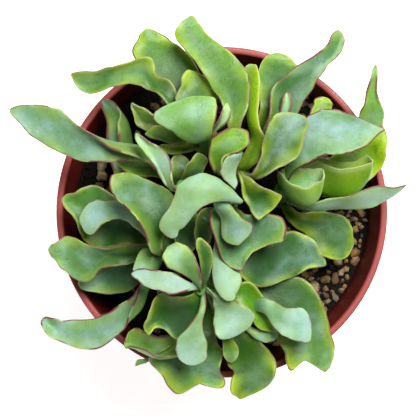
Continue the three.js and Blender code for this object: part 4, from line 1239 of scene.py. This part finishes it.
def raised(margin, height):
    """The place of a margin whose rib's middle is at this height."""
    x, y, *up = margin
    return x, y, height + (up[0] if up else LIFT)


def ways_at(grid, row, column):
    """The way across and the way out of a grid of points at one of them."""
    line = grid[row]
    across = line[min(column + 1, len(line) - 1)] - line[max(column - 1, 0)]
    ahead = grid[min(row + 1, len(grid) - 1)][column] - grid[max(row - 1, 0)][column]
    return across.normalized(), across.cross(ahead).normalized()


def closing(row, last, blunt):
    """Where a row lies from 0 to 1 on a leaf's lines, and how much wider it is, which rounds the tip."""
    if row <= last:
        return row / (last + 1), 1
    past = min(math.sin(math.pi / 2 * (row - last)), 1 - TIP_WIDTH)
    return (last + past) / (last + 1), ((1 + past) / (1 - past)) ** (blunt / 2)


def leaf_grid(root, leaf, number, settings):
    """A leaf's points in rows from its root to its tip, each row from its left to its right margin.

    With each row comes its place from 0 to 1 along the leaf and half its width, in millimetres.
    """
    _, _, wave, *ribs, tip = leaf
    left, middle, right = leaf_lines(root, ribs, tip)
    last = settings.rows_a_rib * (len(ribs) + 1)
    waves = (place_of(tip) - root).length / WAVE_LENGTH
    across_blade = [2 * column / settings.columns - 1 for column in range(settings.columns + 1)]
    blunt = tip[3] if len(tip) > 3 else BLUNT
    flat = []
    facts = []
    for row in range(last + 1):
        t, swell = closing(row / settings.rows_a_rib, len(ribs), blunt)
        a, b, c = left.at(t), middle.at(t), right.at(t)
        bow = (a + c) / 2 - b
        slant = (c - a) / 2 * swell
        flat.append([b + slant * u + bow * u * u for u in across_blade])
        facts.append((row / last, slant.length))
    waved = []
    for row, line in enumerate(flat):
        t, half_width = facts[row]
        depth = wave * WAVE_HEIGHT * min(1.0, WAVE_ONSET * t, WAVE_FADE * (1 - t))
        waved.append([])
        for column, point in enumerate(line):
            u = across_blade[column]
            across, out = ways_at(flat, row, column)
            start = number * PHASE_STEP + (SIDE_SHIFT if u < 0 else 0)
            turn = 2 * math.pi * waves * t + math.radians(start)
            rise = depth * u * u * math.sin(turn)
            slide = math.copysign(SCALLOP, u) * depth * u * u * math.cos(turn)
            frill = settings.frill / MM * u ** 4 * min(1.0, half_width / FULL_FRILL)
            rise += frill * noise.noise(point / RISE_WIDTH)
            slide += math.copysign(frill, u) * noise.noise(point / SLIDE_WIDTH + Vector((7, 0, 0)))
            waved[row].append(point + out * rise + across * slide)
    return waved, facts


def build_leaf(root, leaf, number, settings):
    """One leaf: a flat grid bent to its ribs, then made thick and rounded."""
    grid, facts = leaf_grid(root, leaf, number, settings)
    last = len(grid) - 1
    deselect()
    bpy.ops.mesh.primitive_grid_add(x_subdivisions=settings.columns, y_subdivisions=last, size=2)
    blade = newest("leaf")
    thickness = blade.vertex_groups.new(name="thickness")
    tip = place_of(leaf[-1])
    details = []
    for vertex in blade.data.vertices:
        u, v = vertex.co.xy
        row, column = round((v + 1) / 2 * last), round((u + 1) / 2 * settings.columns)
        t, half_width = facts[row]
        point = grid[row][column]
        vertex.co = point * MM
        thick = EDGE_THICK + (LEAF_THICK - EDGE_THICK) * (1 - u * u) * (1 - t * t)
        thickness.add([vertex.index], thick / LEAF_THICK, "REPLACE")
        details.append((min(half_width * (1 - abs(u)), (point - tip).length), t, 0))
    paint(blade, "blade", details)
    solid = blade.modifiers.new("thickness", "SOLIDIFY")
    solid.thickness = LEAF_THICK * MM
    solid.offset = 0
    solid.vertex_group = thickness.name
    apply_modifiers(blade)
    # The points that thickening has added are those of the underside
    layer = blade.data.attributes["blade"].data
    for i in range(len(details), len(layer)):
        layer[i].vector[2] = 1
    rounding = blade.modifiers.new("rounding", "SUBSURF")
    rounding.levels = 1
    rounding.render_levels = 1
    apply_modifiers(blade)
    tone, bloom, chill, warm, blush, deep = LOOKS[leaf[0]]
    paint_whole(blade, "tone", (*tone, chill))
    paint_whole(blade, "habit", (bloom, warm, blush, deep))
    blade.data.materials.append(bpy.data.materials["waxy_leaf"])
    return blade


def build_bare_stem(points):
    """A round stem that is extruded ring by ring up its middle line, with a swelling at each node."""
    deselect()
    bpy.ops.mesh.primitive_circle_add(vertices=STEM_SIDES, radius=STEM_RADIUS * MM, location=points[0] * MM)
    stem = newest("stem")
    settle(stem)
    bpy.ops.object.mode_set(mode="EDIT")
    bpy.ops.mesh.select_all(action="SELECT")
    bpy.ops.mesh.edge_face_add()
    size = 1.0
    for number, (before, after) in enumerate(zip(points, points[1:])):
        bpy.ops.mesh.extrude_region_move(TRANSFORM_OT_translate={"value": (after - before) * MM})
        taper = 1 - TAPER * max(0, number - TAPER_FROM) / (STEM_STEPS - TAPER_FROM)
        wanted = (1.0 if number % NODE_STEPS == 1 else BETWEEN_NODES) * taper
        factor = wanted / size
        bpy.ops.transform.resize(value=(factor, factor, 1), center_override=after * MM)
        size = wanted
    bpy.ops.mesh.select_all(action="SELECT")
    bpy.ops.mesh.normals_make_consistent(inside=False)
    bpy.ops.object.mode_set(mode="OBJECT")
    smooth(stem, 60)
    stem.data.materials.append(bpy.data.materials["corky_stem"])
    return stem


def build_leafy_stem(name, stem, settings):
    """A stem and its leaves, in one piece."""
    points = stem_points(stem)
    length = sum((b - a).length for a, b in zip(points, points[1:]))
    parts = [build_bare_stem(points)]
    for number, leaf in enumerate(LEAVES[name]):
        root = point_along(points, ROOTED_DEPTH + (length - ROOTED_DEPTH) * leaf[1] * HIGHEST_ROOT)
        parts.append(build_leaf(root, leaf, number, settings))
    piece = joined(parts, f"stem_and_leaves_{name}")
    bpy.ops.object.shade_smooth()
    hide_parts(f"leafy_stem_{name}")
    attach(piece, "root")


def build_stage(settings):
    """A pale floor, a broad light overhead, a weak one from the side and the camera."""
    deselect()
    bpy.ops.mesh.primitive_plane_add(size=FLOOR_WIDTH)
    floor = newest("floor")
    floor.data.materials.append(floor_finish(settings.floor))
    soft_light("overhead_light", (0.28, 0.42, 1.10), 0.5, settings.key)
    soft_light("side_light", (-0.9, -0.7, 0.7), 0.8, SIDE_SHARE * settings.key)
    world = bpy.data.worlds.new("soft_room")
    world.use_nodes = True
    backdrop = world.node_tree.nodes["Background"]
    backdrop.inputs["Color"].default_value = (1.0, 1.0, 1.0, 1)
    backdrop.inputs["Strength"].default_value = settings.fill
    bpy.context.scene.world = world
    build_camera(settings)
    bpy.context.scene.view_settings.view_transform = "Standard"


def soft_light(name, place, size, power):
    """A square light that shines at the plant."""
    deselect()
    bpy.ops.object.light_add(type="AREA", location=place)
    light = newest(name)
    light.data.size = size
    light.data.energy = power
    light.rotation_euler = (LIT_POINT - Vector(place)).to_track_quat("-Z", "Y").to_euler()


def build_camera(settings):
    """Looks straight down, with the rim's middle where the photograph has it."""
    deselect()
    height = POT_HEIGHT * MM + settings.sight_height
    bpy.ops.object.camera_add(location=(0, 0, height), rotation=(0, 0, 0))
    camera = newest("camera")
    seen_width = FRAME_WIDTH / PIXELS_A_MM * MM
    camera.data.lens = camera.data.sensor_width * settings.sight_height / seen_width
    camera.data.shift_x = (FRAME_WIDTH / 2 - RIM_MIDDLE[0]) / FRAME_WIDTH
    camera.data.shift_y = (RIM_MIDDLE[1] - FRAME_WIDTH / 2) / FRAME_WIDTH
    bpy.context.scene.camera = camera


class JADE_OT_pot(bpy.types.Operator):
    """Builds the moulded pot with its drain holes"""

    bl_idname = "jade.pot"
    bl_label = "Pot"

    def execute(self, context):
        build_pot(context.scene.jade_pot)
        return {"FINISHED"}


class JADE_OT_soil_bed(bpy.types.Operator):
    """Builds the bed of soil"""

    bl_idname = "jade.soil_bed"
    bl_label = "Soil Bed"

    def execute(self, context):
        build_soil_bed(context.scene.jade_soil)
        return {"FINISHED"}


class JADE_OT_gravel(bpy.types.Operator):
    """Strews gravel and crumbs over the soil"""

    bl_idname = "jade.gravel"
    bl_label = "Gravel and Crumbs"

    def execute(self, context):
        build_gravel(context.scene.jade_soil)
        return {"FINISHED"}


class JADE_OT_leafy_stems(bpy.types.Operator):
    """Builds the stems with their waved leaves"""

    bl_idname = "jade.leafy_stems"
    bl_label = "Leafy Stems"

    def execute(self, context):
        settings = context.scene.jade_leaf
        leaf_finish(settings)
        stem_finish()
        for name, stem in STEMS.items():
            build_leafy_stem(name, stem, settings)
        return {"FINISHED"}


class JADE_OT_stage(bpy.types.Operator):
    """Sets up the floor, the lights and the camera"""

    bl_idname = "jade.stage"
    bl_label = "Stage"

    def execute(self, context):
        build_stage(context.scene.jade_stage)
        return {"FINISHED"}


class JADE_PT_panel(bpy.types.Panel):
    """Lists the pieces of the potted plant"""

    bl_idname = "JADE_PT_panel"
    bl_label = "Ripple Jade"
    bl_space_type = "VIEW_3D"
    bl_region_type = "UI"
    bl_category = "Ripple Jade"

    def draw(self, context):
        for operator in OPERATORS:
            self.layout.operator(operator.bl_idname)


OPERATORS = (JADE_OT_pot, JADE_OT_soil_bed, JADE_OT_gravel, JADE_OT_leafy_stems, JADE_OT_stage)
SETTINGS = {
    "jade_pot": JadePotSettings,
    "jade_soil": JadeSoilSettings,
    "jade_leaf": JadeLeafSettings,
    "jade_stage": JadeStageSettings,
}


def register():
    for kind in (*SETTINGS.values(), *OPERATORS, JADE_PT_panel):
        bpy.utils.register_class(kind)
    for name, kind in SETTINGS.items():
        setattr(bpy.types.Scene, name, PointerProperty(type=kind))


def unregister():
    for name in SETTINGS:
        delattr(bpy.types.Scene, name)
    for kind in (JADE_PT_panel, *reversed(OPERATORS), *SETTINGS.values()):
        bpy.utils.unregister_class(kind)


def main():
    register()
    bpy.ops.jade.pot()
    bpy.ops.jade.soil_bed()
    bpy.ops.jade.gravel()
    bpy.ops.jade.leafy_stems()
    bpy.ops.jade.stage()


if __name__ == "__main__":
    main()
